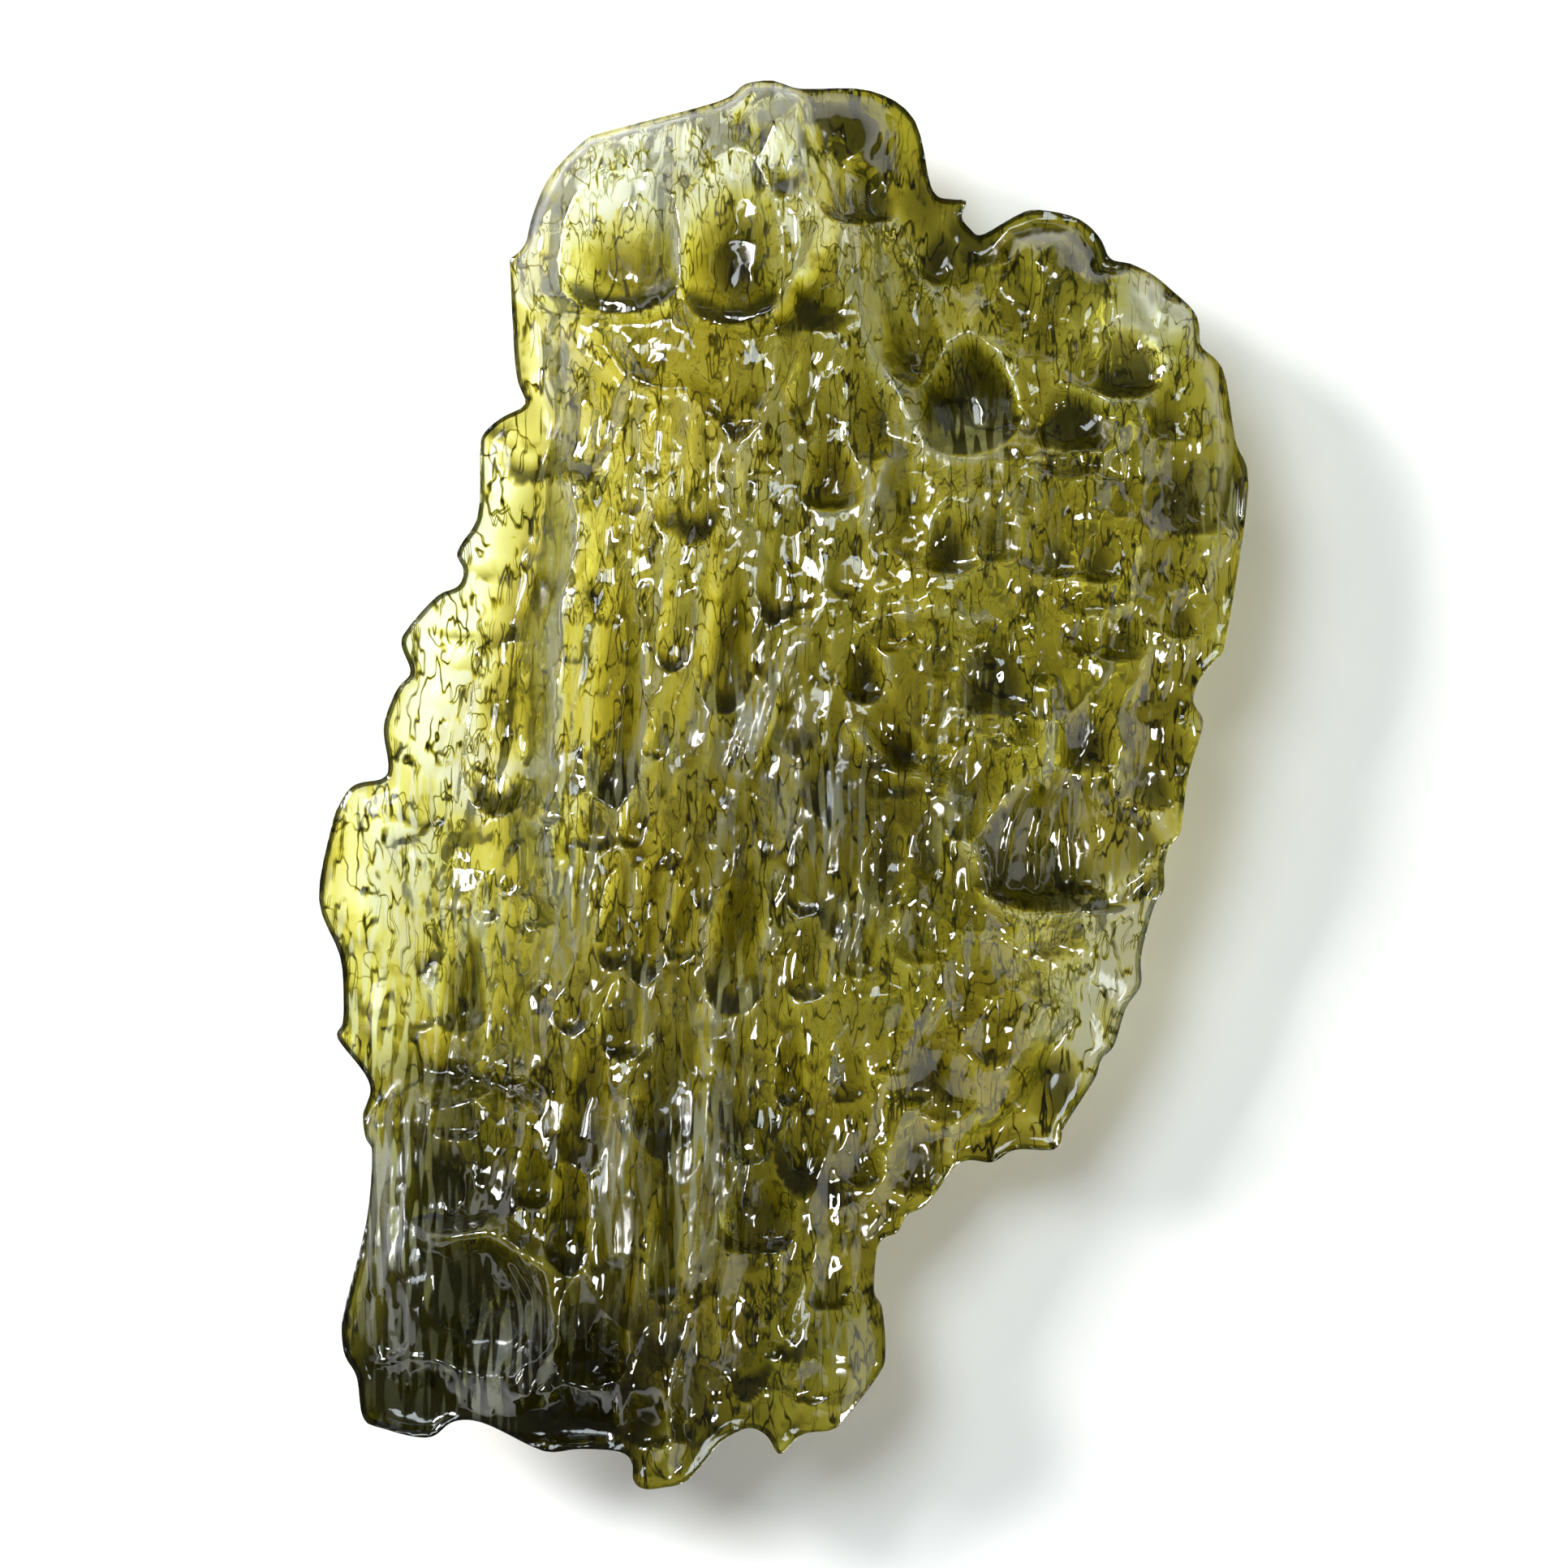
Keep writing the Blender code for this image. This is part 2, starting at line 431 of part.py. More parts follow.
def clear_scene():
    for obj in list(bpy.data.objects):
        bpy.data.objects.remove(obj)


def blank_object(collection):
    """A flat blank with the stone's outline, turned from a filled curve into a closed mesh."""
    curve = bpy.data.curves.new("outline", "CURVE")
    curve.dimensions = "2D"
    curve.fill_mode = "BOTH"
    curve.extrude = BLANK_GLASS / 2
    line = closed_curve(OUTLINE, CURVE_STEPS)
    spline = curve.splines.new("POLY")
    spline.points.add(len(line) - 1)
    heights, weights = np.zeros(len(line)), np.ones(len(line))
    spline.points.foreach_set("co", np.column_stack([line, heights, weights]).ravel())
    spline.use_cyclic_u = True
    outline = bpy.data.objects.new("outline", curve)
    collection.objects.link(outline)
    mesh = evaluated_mesh(outline)
    shape = bmesh.new()
    shape.from_mesh(mesh)
    bmesh.ops.remove_doubles(shape, verts=shape.verts, dist=1e-4)
    shape.to_mesh(mesh)
    shape.free()
    blank = bpy.data.objects.new(NAME, mesh)
    blank.matrix_world = outline.matrix_world
    collection.objects.link(blank)
    bpy.data.objects.remove(outline)
    return blank


def remesh_blank(stone):
    """The blank on an even grid, fine enough to be sculpted."""
    remesh = stone.modifiers.new("even grid", "REMESH")
    remesh.mode = "VOXEL"
    remesh.voxel_size = GRID
    stone.data = evaluated_mesh(stone)
    stone.modifiers.clear()


def sculpt(stone):
    move_points(stone.data, sculpted(points_of(stone.data)))


def thin_out(stone):
    """Fewer triangles, kept where the surface bends most."""
    stone.data.calc_loop_triangles()
    decimate = stone.modifiers.new("fewer triangles", "DECIMATE")
    decimate.ratio = TRIANGLES / len(stone.data.loop_triangles)
    decimate.use_collapse_triangulate = True
    stone.data = evaluated_mesh(stone)
    stone.modifiers.clear()


def set_down(stone):
    """The flat spot made level, the stone centred over the origin, and millimetres made metres."""
    nearly_level = 0.02
    points = points_of(stone.data)
    points[points[:, 2] < nearly_level, 2] = 0
    points[:, :2] -= (points[:, :2].min(axis=0) + points[:, :2].max(axis=0)) / 2
    move_points(stone.data, points * MM)


def glass():
    material = bpy.data.materials.new("moldavite_glass")
    material.use_nodes = True
    shader = material.node_tree.nodes["Principled BSDF"]
    shader.inputs["Base Color"].default_value = GLASS_COLOUR
    shader.inputs["Roughness"].default_value = GLASS_ROUGHNESS
    shader.inputs["Metallic"].default_value = 0.0
    shader.inputs["IOR"].default_value = GLASS_IOR
    return material


def main():
    clear_scene()
    collection = bpy.data.collections.new(NAME)
    bpy.context.scene.collection.children.link(collection)
    stone = blank_object(collection)
    remesh_blank(stone)
    sculpt(stone)
    thin_out(stone)
    set_down(stone)
    stone.data.name = NAME
    stone.data.materials.append(glass())
    stone.data.shade_smooth()


main()
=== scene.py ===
"""Looks of the moldavite: a fine sculpted glass mesh round the faceted solid, its light and camera.

The form values are the solid's own, in millimetres, repeated here with finer layers on top.
"""

import math

import bmesh
import bpy
import numpy as np
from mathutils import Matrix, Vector


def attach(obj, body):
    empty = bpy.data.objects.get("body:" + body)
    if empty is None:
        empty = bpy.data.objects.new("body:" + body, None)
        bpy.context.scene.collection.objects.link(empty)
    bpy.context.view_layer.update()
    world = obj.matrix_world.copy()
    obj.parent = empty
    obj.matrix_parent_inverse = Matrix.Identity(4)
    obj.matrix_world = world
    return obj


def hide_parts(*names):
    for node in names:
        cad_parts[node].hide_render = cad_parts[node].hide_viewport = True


NAME = "moldavite"
MM = 0.001

# Driving dimensions of the edge: its height over the floor, half its thickness, the share of that which
# is left at the rim itself, and the distance over which it is rounded
EDGE_HEIGHT = 2.75
EDGE_GLASS = 0.17
EDGE_LEAST = 0.4
EDGE_ROUNDING = 0.3

# How far the face rises and the underside sinks from the edge inwards, and over what distance
FACE_RISE = 3.4
RISE_REACH = 3.4
BELLY_DEPTH = 2.3
BELLY_REACH = 4.0

# The least thickness, and how softly the face is lifted to keep it
LEAST_GLASS = 0.3
GLASS_SOFTNESS = 0.25

# How far a named pit spreads past its given size, and where its deepest point lies, from -1 at the
# lower end to 1 at the upper end
PIT_SPREAD = 1.22
PIT_DEEPEST = -0.5

# How far inside the edge a raised area reaches its full height
RAISED_START = 0.3

# How the edge rises and falls on its way round: height, turn per millimetre of x and of y, start
EDGE_WAVES = [(0.3, 0.0, 0.33, 0.8), (0.2, 0.55, -0.25, 0.0)]

# The flat spot that it rests on: the middle of the swelling round it, its reach and its depth
REST_CENTRE = (0.5, 0.8)
REST_REACH = (5.0, 7.0)
REST_SWELL = 1.5

# Fineness: the steps of a smooth line from one point to the next, the distance within which points are
# joined, the blank's thickness, its grid, and the triangles that are kept
CURVE_STEPS = 4
JOIN_WITHIN = 1e-4
BLANK_GLASS = 0.5
GRID = 0.068
TRIANGLES = 196000

# The stone's outline, anticlockwise from the top
OUTLINE = [
    (0, 14.83), (-0.28, 14.9), (-0.84, 14.82), (-1.4, 14.45), (-3.78, 13.82), (-4.27, 13.61),
    (-5, 12.84), (-5.36, 12), (-5.5, 11.44), (-5.8, 11.12), (-5.82, 10.95), (-5.7, 8.78),
    (-5.49, 8.11), (-5.6, 7.94), (-6.02, 7.73), (-6.37, 7.41), (-6.45, 7.1), (-6.45, 6.05),
    (-6.55, 5.49), (-6.86, 5.03), (-6.93, 4.79), (-6.79, 4.51), (-6.9, 4.16), (-7.35, 3.95),
    (-7.98, 3.25), (-8.1, 2.9), (-7.9, 2.34), (-8.16, 2.03), (-8.37, 1.57), (-8.48, 1.08),
    (-8.4, 0.17), (-9.07, -0.03), (-9.38, -0.39), (-9.59, -0.95), (-9.86, -2.49), (-9.42, -3.68),
    (-9.35, -4.66), (-9.38, -5.14), (-9.49, -5.42), (-8.93, -6.16), (-8.79, -6.57), (-8.95, -7.03),
    (-8.89, -7.59), (-8.76, -7.87), (-8.88, -9.34), (-9.35, -11.23), (-9.39, -11.79),
    (-9.31, -12.21), (-9.07, -12.63), (-8.93, -13.5), (-8.47, -13.72), (-7.84, -13.88),
    (-7.42, -13.86), (-7, -13.55), (-6.37, -13.58), (-5.32, -14.07), (-4.9, -14.18),
    (-4.34, -14.11), (-3.5, -14.16), (-3.22, -14.38), (-3.19, -14.77), (-2.98, -14.95),
    (-2.59, -14.93), (-2.03, -14.77), (-1.4, -14.03), (-1.05, -13.79), (-0.7, -13.68),
    (-0.35, -13.86), (-0.08, -14.25), (0.38, -13.83), (1.01, -13.74), (1.36, -13.43),
    (2.02, -12.56), (2.16, -12.14), (2.09, -11.16), (1.92, -10.81), (2.02, -9.8), (2.41, -9.58),
    (2.62, -9.2), (3.04, -8.99), (3.6, -8.22), (3.95, -8.04), (4.44, -8.09), (4.93, -7.82),
    (5.7, -7.83), (5.91, -7.62), (5.98, -7.31), (6.61, -6.33), (6.75, -5.91), (7.03, -5.6),
    (7.28, -4.8), (7.6, -4.31), (7.6, -3.68), (7.87, -2.63), (8.08, -2.28), (8.08, -1.79),
    (8.19, -1.37), (8.43, -1.02), (8.57, 0.1), (8.89, 1.18), (8.85, 1.43), (8.68, 1.74),
    (8.82, 2.2), (9.17, 2.62), (9.38, 3.07), (9.86, 6.26), (9.59, 7.24), (9.38, 8.57), (9.17, 8.99),
    (8.85, 9.27), (8.82, 9.69), (8.68, 10.04), (8.26, 10.43), (7.84, 10.78), (7.35, 11.02),
    (6.93, 11.12), (6.75, 11.51), (6.44, 11.86), (6.02, 12.07), (5.32, 12.18), (4.9, 12.04),
    (4.2, 11.65), (3.99, 11.76), (3.78, 12.04), (3.88, 12.38), (3.57, 12.42), (3.15, 12.63),
    (2.78, 14.1), (1.82, 14.71), (0.42, 14.73),
]

# Areas of the face that lie higher or lower than the rest: height, softness of the step and the
# loop round each. A loop runs past the stone's edge where the step doesn't show there.
STEPS = [
    # The thin left flank, below the crest of the body
    (-1.45, 0.9, [
        (-5.3, 10.4), (-5.0, 7.5), (-4.85, 5.0), (-5.1, 3.0), (-5.0, 0.5), (-5.3, -1.0),
        (-5.0, -3.0), (-5.5, -4.8), (-6.4, -5.8), (-11.0, -6.2), (-11.5, 0.0), (-9.0, 7.0), (-7.0, 11.0),
    ]),
    # The boss at the top left, whose lower side is a ledge
    (0.85, 0.3, [
        (-7.5, 10.4), (-7.0, 14.0), (-3.4, 16.5), (0.1, 16.5), (0.4, 14.0), (0.6, 13.0),
        (1.0, 11.8), (0.4, 10.5), (-0.3, 9.65), (-1.9, 9.7), (-2.3, 10.0), (-3.3, 9.9), (-4.6, 10.1),
    ]),
    # The thin rim at the lower right, outside the lip of the fan-shaped pit
    (-1.1, 0.8, [
        (4.4, -3.3), (5.6, -3.2), (7.2, -2.9), (9.5, -2.0), (9.6, -5.0), (8.0, -8.5), (6.0, -10.5),
        (4.0, -9.0), (4.6, -7.2), (5.6, -5.2),
    ]),
    # The notch between the top lobe and the right shoulder
    (-0.8, 0.8, [(2.4, 12.0), (3.0, 10.8), (4.2, 10.6), (5.0, 13.5), (2.6, 14.5)]),
]

# Broad swellings of the face: x, y, reach across, reach along, lean in degrees, height
SWELLINGS = [
    (-2.2, 8.6, 2.0, 1.1, 0, 0.35),
    (1.2, 10.2, 0.8, 2.6, -8, 0.6),
    (1.4, 14.0, 1.2, 0.7, 0, 0.35),
    (5.5, 11.1, 1.2, 0.9, 0, 0.55),
    (7.9, 10.2, 0.8, 0.7, 0, 0.45),
    (8.8, 7.9, 0.6, 1.1, 0, 0.35),
    (9.1, 5.6, 0.5, 0.8, 0, 0.25),
    (8.7, 1.2, 0.4, 0.5, 0, 0.3),
    (-4.9, 9.2, 0.7, 1.2, 0, 0.25),
    (-6.0, 6.6, 0.6, 1.0, 0, 0.3),
    (-7.2, 2.6, 0.7, 1.0, 20, 0.3),
    (-7.6, 0.9, 0.6, 0.7, 10, 0.25),
    (-8.6, -1.4, 0.8, 1.0, 10, 0.35),
    (-8.5, -4.6, 0.8, 0.9, 0, 0.3),
    (-2.3, 3.2, 1.6, 3.0, 7, 0.3),
    (3.6, 4.6, 1.2, 1.6, 7, 0.35),
    (0.4, -0.6, 1.2, 2.0, 7, 0.35),
    (2.6, -4.2, 1.6, 1.6, 0, 0.4),
    (5.0, -5.2, 1.4, 1.2, -30, 0.3),
    (-8.3, -8.8, 0.5, 2.2, 0, 0.4),
    (-5.2, -9.6, 2.6, 3.0, 0, 0.55),
    (1.3, -12.2, 0.6, 1.1, 0, 0.3),
    (-6.6, -12.6, 0.7, 0.6, 0, 0.4),
    (0.4, -8.0, 1.4, 1.4, 0, 0.3),
]

# Ridges, and grooves where the height is below zero: height, reach to each side, line
RIDGES = [
    # The crest between the left flank and the body
    (0.45, 0.3, [(-4.5, 6.2), (-4.35, 5.0), (-4.85, 3.0), (-4.8, 1.2), (-5.0, -0.8), (-4.9, -2.3)]),
    # The boss: its rim, and the ridge between its two bowls
    (0.25, 0.5, [(-4.7, 10.6), (-4.6, 12.0), (-3.7, 13.2), (-2.3, 13.7)]),
    (0.4, 0.28, [(-2.2, 13.8), (-2.3, 12.4), (-2.2, 10.4)]),
    (0.4, 0.4, [(-0.1, 13.9), (0.3, 12.8), (0.7, 11.8), (0.5, 10.8)]),
    # The fold below the boss
    (-0.3, 0.22, [(-3.8, 9.2), (-3.3, 8.6), (-2.8, 8.35), (-2.0, 8.35), (-1.6, 8.1)]),
    # Between the long trough and the body
    (0.35, 0.3, [(1.3, 12.6), (1.6, 10.8), (2.1, 9.0), (2.6, 7.6)]),
    (0.35, 0.22, [(2.2, 6.9), (2.0, 6.2), (1.8, 5.4)]),
    # Silvery ribs down the middle
    (0.35, 0.25, [(0.3, 2.9), (-0.3, 1.4), (-0.9, 0.2)]),
    (0.35, 0.25, [(-0.3, -3.2), (-1.0, -4.2), (-1.4, -5.0)]),
    (0.4, 0.3, [(-1.4, -6.0), (-1.8, -8.0), (-2.0, -10.2)]),
    (0.4, 0.28, [(-3.2, -6.6), (-3.3, -8.0), (-3.5, -9.8)]),
    # The raised lips of the pits at the right
    (0.4, 0.22, [(1.6, 1.0), (2.4, 0.2), (3.4, -0.1)]),
    (0.45, 0.2, [(4.0, -1.4), (4.3, -2.4), (5.0, -2.8), (6.0, -2.7), (7.1, -2.3), (8.1, -1.6)]),
    (0.4, 0.25, [(5.55, 1.9), (5.6, 0.8), (5.5, 0.0)]),
    (0.3, 0.25, [(2.0, 3.4), (3.1, 3.6), (4.0, 3.4)]),
    (0.3, 0.25, [(5.0, 7.0), (5.9, 6.8), (7.0, 7.2)]),
    # The belt of dark folds across the lower left
    (-0.5, 0.28, [(-8.3, -5.9), (-7.4, -6.25), (-6.4, -6.3), (-5.4, -6.6)]),
    # The rib between the lower-left pits
    (0.4, 0.28, [(-7.4, -9.6), (-6.2, -9.45), (-4.9, -10.2), (-4.8, -11.6), (-5.4, -12.8)]),
]

# Pits: x, y, half width, half length, lean in degrees, depth. Each fades out towards its upper end
# and has a steep wall at its lower end.
PITS = [
    # The boss and its surroundings
    (-3.4, 11.5, 1.15, 1.4, 0, 1.15), (-1.1, 11.4, 0.95, 1.6, 0, 1.15),
    (-4.95, 11.6, 0.25, 0.55, 0, 0.35), (1.5, 12.5, 0.85, 0.65, 0, 0.9),
    (-0.9, 7.9, 0.4, 0.45, 0, 0.4), (-0.35, 6.95, 0.35, 0.5, 0, 0.4),
    (-5.2, 9.3, 0.45, 0.7, 0, 0.3),
    # The long trough at the upper right and the deep pit at its foot
    (2.35, 10.4, 0.75, 1.9, -18, 1.0), (2.75, 9.1, 0.6, 0.65, 0, 0.8),
    (3.85, 8.2, 0.95, 1.15, -10, 1.6), (3.3, 11.3, 0.5, 0.7, 20, 0.6),
    # The right shoulder
    (5.0, 10.2, 0.6, 0.7, 0, 0.4), (7.2, 9.0, 0.85, 0.8, 0, 0.8), (6.05, 7.65, 0.85, 0.7, 0, 0.8),
    (5.1, 7.2, 0.3, 0.35, 0, 0.4), (5.0, 6.0, 0.35, 0.4, 0, 0.4), (4.2, 5.6, 0.35, 0.45, 0, 0.4),
    (5.7, 4.95, 0.55, 0.6, 0, 0.5), (6.55, 4.85, 0.5, 0.6, 0, 0.5), (6.2, 3.9, 0.5, 0.35, 0, 0.35),
    (6.15, 3.1, 0.55, 0.35, 0, 0.4), (7.1, 3.1, 0.5, 0.5, 0, 0.45), (8.4, 3.7, 0.45, 0.6, 0, 0.5),
    (8.0, 6.2, 0.7, 0.8, 0, 0.5), (7.2, 6.2, 0.5, 0.6, 0, 0.4),
    # The upper middle
    (0.95, 6.55, 0.65, 0.75, 0, 0.7), (-3.4, 6.6, 0.45, 1.0, 3, 0.35),
    (-2.4, 6.4, 0.4, 1.0, -3, 0.35), (0.3, 4.6, 0.5, 1.0, 7, 0.35), (2.7, 5.6, 0.5, 0.9, 0, 0.4),
    (1.4, 4.7, 0.45, 0.8, 5, 0.35),
    # The left flank
    (-5.95, 1.3, 0.6, 1.75, 5, 0.6), (-5.4, 1.6, 0.28, 1.2, 4, 0.5), (-5.9, 5.0, 0.5, 0.8, 10, 0.35),
    (-6.9, 3.6, 0.5, 0.5, 10, 0.3), (-7.6, -0.3, 0.6, 0.6, 10, 0.35), (-7.0, -1.6, 0.7, 1.2, 5, 0.4),
    (-8.9, -3.0, 0.5, 0.6, 0, 0.35), (-6.85, -4.1, 0.5, 1.15, 0, 0.9), (-7.8, -4.7, 0.35, 0.5, 0, 0.4),
    (-6.3, -2.4, 0.3, 0.5, 5, 0.4),
    # The flutes of the middle
    (-3.5, 2.2, 0.55, 2.4, 3, 0.95), (-1.12, 3.3, 0.5, 1.7, 4, 0.9), (-2.6, 1.1, 0.35, 0.6, 5, 0.45),
    (-2.2, 3.6, 0.4, 1.2, 5, 0.35), (-4.0, -0.75, 0.52, 0.6, 0, 0.6), (-4.9, -0.5, 0.25, 0.35, 0, 0.3),
    (-5.15, -2.7, 0.36, 0.34, 0, 0.55), (-3.5, -2.7, 0.36, 1.1, 6, 0.6), (-2.8, -2.6, 0.32, 1.0, 6, 0.6),
    (-2.1, -2.7, 0.38, 1.0, 6, 0.65), (-2.3, -0.9, 0.4, 0.9, 7, 0.45), (-3.1, -0.6, 0.35, 0.7, 7, 0.45),
    (-0.9, -2.7, 0.62, 1.95, 4, 1.15), (-0.95, -0.6, 0.45, 0.7, 7, 0.4), (0.5, -1.6, 0.5, 1.1, 7, 0.5),
    (0.5, -3.6, 0.5, 0.9, 5, 0.5), (-3.4, -4.9, 0.5, 0.8, 7, 0.5), (-2.3, -5.0, 0.5, 0.8, 7, 0.5),
    (-4.4, -4.3, 0.4, 0.9, 7, 0.5),
    # The right side
    (1.65, 2.4, 0.45, 0.68, 0, 0.7), (1.7, 3.9, 0.3, 0.6, 0, 0.3), (0.6, 1.9, 0.3, 0.4, 0, 0.35),
    (2.35, 0.85, 0.65, 0.65, 0, 0.6), (3.25, 0.15, 0.4, 0.4, 0, 0.4), (3.4, 2.7, 0.5, 0.6, 5, 0.4),
    (4.3, 1.5, 0.4, 0.5, 0, 0.4), (5.0, 1.2, 0.38, 0.4, 0, 0.45), (5.35, 2.5, 0.32, 0.4, 0, 0.45),
    (6.35, 0.95, 0.7, 0.8, 0, 0.65), (7.5, 1.55, 0.38, 0.38, 0, 0.4), (7.65, 0.1, 0.75, 0.7, 0, 0.7),
    (6.05, -1.15, 2.0, 1.4, 0, 1.6), (4.65, -2.0, 0.45, 0.45, 0, 0.6), (2.1, -1.6, 0.5, 0.9, 5, 0.5),
    (3.1, -1.3, 0.45, 0.8, 5, 0.45), (1.6, -3.3, 0.45, 0.7, 5, 0.45), (2.8, -3.0, 0.45, 0.7, 5, 0.4),
    (5.9, -3.4, 0.5, 0.4, 0, 0.35), (3.9, -4.4, 0.5, 0.6, 0, 0.4), (3.4, -6.3, 0.6, 0.8, -10, 0.45),
    # The lower middle
    (0.12, -5.8, 0.4, 0.95, 0, 0.75), (1.3, -5.9, 0.45, 0.8, 0, 0.45), (1.6, -7.8, 0.5, 0.7, 0, 0.5),
    (-0.55, -9.0, 0.75, 0.85, 0, 0.9), (-0.6, -7.3, 0.45, 0.7, 3, 0.5), (0.9, -10.5, 0.5, 0.6, 0, 0.5),
    (-0.5, -11.3, 0.6, 0.9, 0, 0.6), (-1.6, -12.4, 0.5, 0.8, -20, 0.5), (0.6, -12.6, 0.4, 0.5, 0, 0.35),
    (-2.45, -9.5, 0.35, 1.3, 3, 0.7),
    # The lower left
    (-6.5, -6.35, 0.6, 0.3, 0, 0.5), (-6.7, -7.0, 0.65, 0.5, 0, 0.5), (-5.3, -8.1, 0.42, 0.75, 0, 0.7),
    (-7.1, -8.5, 0.9, 0.85, 0, 0.7), (-4.5, -8.9, 0.42, 1.2, 3, 0.6), (-4.2, -7.0, 0.4, 0.7, 5, 0.5),
    (-6.2, -10.9, 1.35, 1.3, 0, 1.2), (-8.3, -11.3, 0.45, 0.8, 0, 0.5), (-7.85, -13.0, 0.95, 0.7, 0, 0.9),
    (-4.1, -11.5, 0.75, 1.05, 0, 0.9), (-4.7, -13.3, 1.2, 0.6, 0, 0.7), (-2.9, -13.4, 0.5, 0.6, 0, 0.5),
]

# The small pits of the face, long at its left and round at its right, and those of the underside:
# width and length of their cells, lean, depth and seed. They turn from long to round between two x.
LONG_SKIN = (0.95, 3.0, 7.0, 0.6, 11)
ROUND_SKIN = (1.25, 1.4, 0.0, 0.65, 13)
ROUND_FROM, ROUND_TO = 0.0, 3.0
UNDERSIDE_SKIN = (1.9, 2.7, 5.0, 0.75, 23)

# The least and the further random part of each small pit's place in its cell, reach and depth
PLACE_LEAST, PLACE_SPAN = 0.2, 0.6
REACH_LEAST, REACH_SPAN = 0.55, 0.5
DEPTH_LEAST, DEPTH_SPAN = 0.15, 0.85

# Finer layers, which the solid leaves out: width and length of the cells, lean, depth or height, seed
MEDIUM_LONG = (0.42, 1.3, 7.0, 0.2, 31)
MEDIUM_ROUND = (0.5, 0.6, 0.0, 0.18, 33)
SMALL_SKIN = (0.25, 0.6, 7.0, 0.09, 37)
UNDERSIDE_FINE = (0.7, 1.1, 5.0, 0.2, 41)
UNDERSIDE_SINK = 0.02
STRIAE = [(0.22, 1.6, 7.0, 0.045, 51), (0.14, 0.8, 5.0, 0.025, 52)]
FOLDS = [(0.5, 0.9, 7.0, 0.11, 81), (0.26, 0.42, 20.0, 0.045, 82)]
WRINKLES = [(0.6, 0.9, 20.0, 0.05, 61), (0.45, 0.6, -30.0, 0.035, 62)]
WRINKLE_POWER = 6

# Fine ridges: their height, their reach to each side, and the line of each
FINE_RIDGE, FINE_REACH = 0.13, 0.075
FINE_RIDGES = [
    # The ribs of the fan-shaped pit
    [(5.1, -0.2), (4.75, -1.0), (4.6, -1.9)], [(5.55, -0.1), (5.3, -1.2), (5.3, -2.2)],
    [(6.0, -0.1), (6.0, -1.2), (6.1, -2.3)], [(6.45, -0.1), (6.65, -1.2), (6.9, -2.2)],
    [(6.9, 0.0), (7.3, -0.9), (7.7, -1.7)],
    # Silvery strokes down the middle
    [(-1.2, 0.3), (-0.6, 1.8)], [(-0.9, 0.4), (-0.3, 2.4)], [(-0.6, 0.4), (0.05, 2.5)],
    [(-0.2, 0.8), (0.25, 2.3)], [(-1.8, -5.1), (-1.5, -4.2)], [(-1.5, -5.0), (-1.1, -3.9)],
    [(-1.2, -5.0), (-0.85, -4.0)], [(0.95, -4.2), (1.35, -2.6)], [(1.2, -4.4), (1.7, -2.2)],
    [(1.55, -4.4), (2.0, -2.4)], [(-4.6, -3.4), (-4.3, -1.2)], [(-4.3, -3.6), (-4.0, -1.8)],
    # The fan below the boss
    [(-3.9, 5.4), (-3.5, 7.4)], [(-3.3, 5.3), (-3.0, 7.4)], [(-2.7, 5.3), (-2.5, 7.6)],
    [(-2.1, 5.4), (-2.0, 7.6)], [(-1.5, 5.5), (-1.6, 7.5)], [(-0.9, 5.6), (-1.2, 7.4)],
    # Between the finger-like flutes
    [(-3.1, -3.6), (-2.9, -1.6)], [(-2.45, -3.6), (-2.3, -1.6)], [(-1.65, -3.4), (-1.5, -1.4)],
    # The striped sheet at the lower left and the ribs beside it
    [(-8.75, -10.8), (-8.6, -6.6)], [(-8.4, -10.6), (-8.25, -6.6)], [(-8.05, -10.3), (-7.9, -6.9)],
    [(-7.7, -9.6), (-7.55, -7.2)], [(-1.9, -9.8), (-1.5, -6.3)], [(-1.5, -9.6), (-1.15, -6.6)],
    [(-3.6, -9.9), (-3.4, -7.0)], [(-3.0, -9.6), (-2.85, -7.2)], [(-6.6, -13.2), (-6.3, -12.0)],
    [(-6.2, -13.3), (-5.95, -12.1)], [(-5.5, -9.9), (-5.1, -10.8), (-5.2, -11.8), (-5.7, -12.6)],
    [(-5.75, -10.2), (-5.4, -10.9), (-5.5, -11.7), (-6.0, -12.3)], [(-7.9, -12.4), (-8.1, -13.4)],
    [(-8.7, -12.3), (-7.9, -12.15), (-7.0, -12.2)], [(-7.1, -12.6), (-7.3, -13.6)],
    # The yellow flute of the flank
    [(-7.4, 0.0), (-6.9, 2.2)], [(-6.9, -0.5), (-6.4, 2.8)], [(-6.4, -0.5), (-5.8, 3.2)],
]

# The finest layers are lively in patches, given as width, length, lean and seed. Between the patches
# they keep the least share, and the striae are stronger in the silver zones.
LIVELY_PATCHES = (1.1, 1.7, 12.0, 91)
LEAST_LIVELY = 0.2
SILVER_STRIAE = 0.9

# How far the fine layers are pushed about, and the noises that push them along x and y: the strength
# of each, width and length of its cells, lean and seed
BEND = 0.12
BENDS_X = [(1.0, 1.8, 2.6, 0, 71), (0.5, 0.8, 1.1, 30, 72)]
BENDS_Y = [(1.0, 1.8, 2.6, 15, 73), (0.5, 0.8, 1.1, -20, 74)]

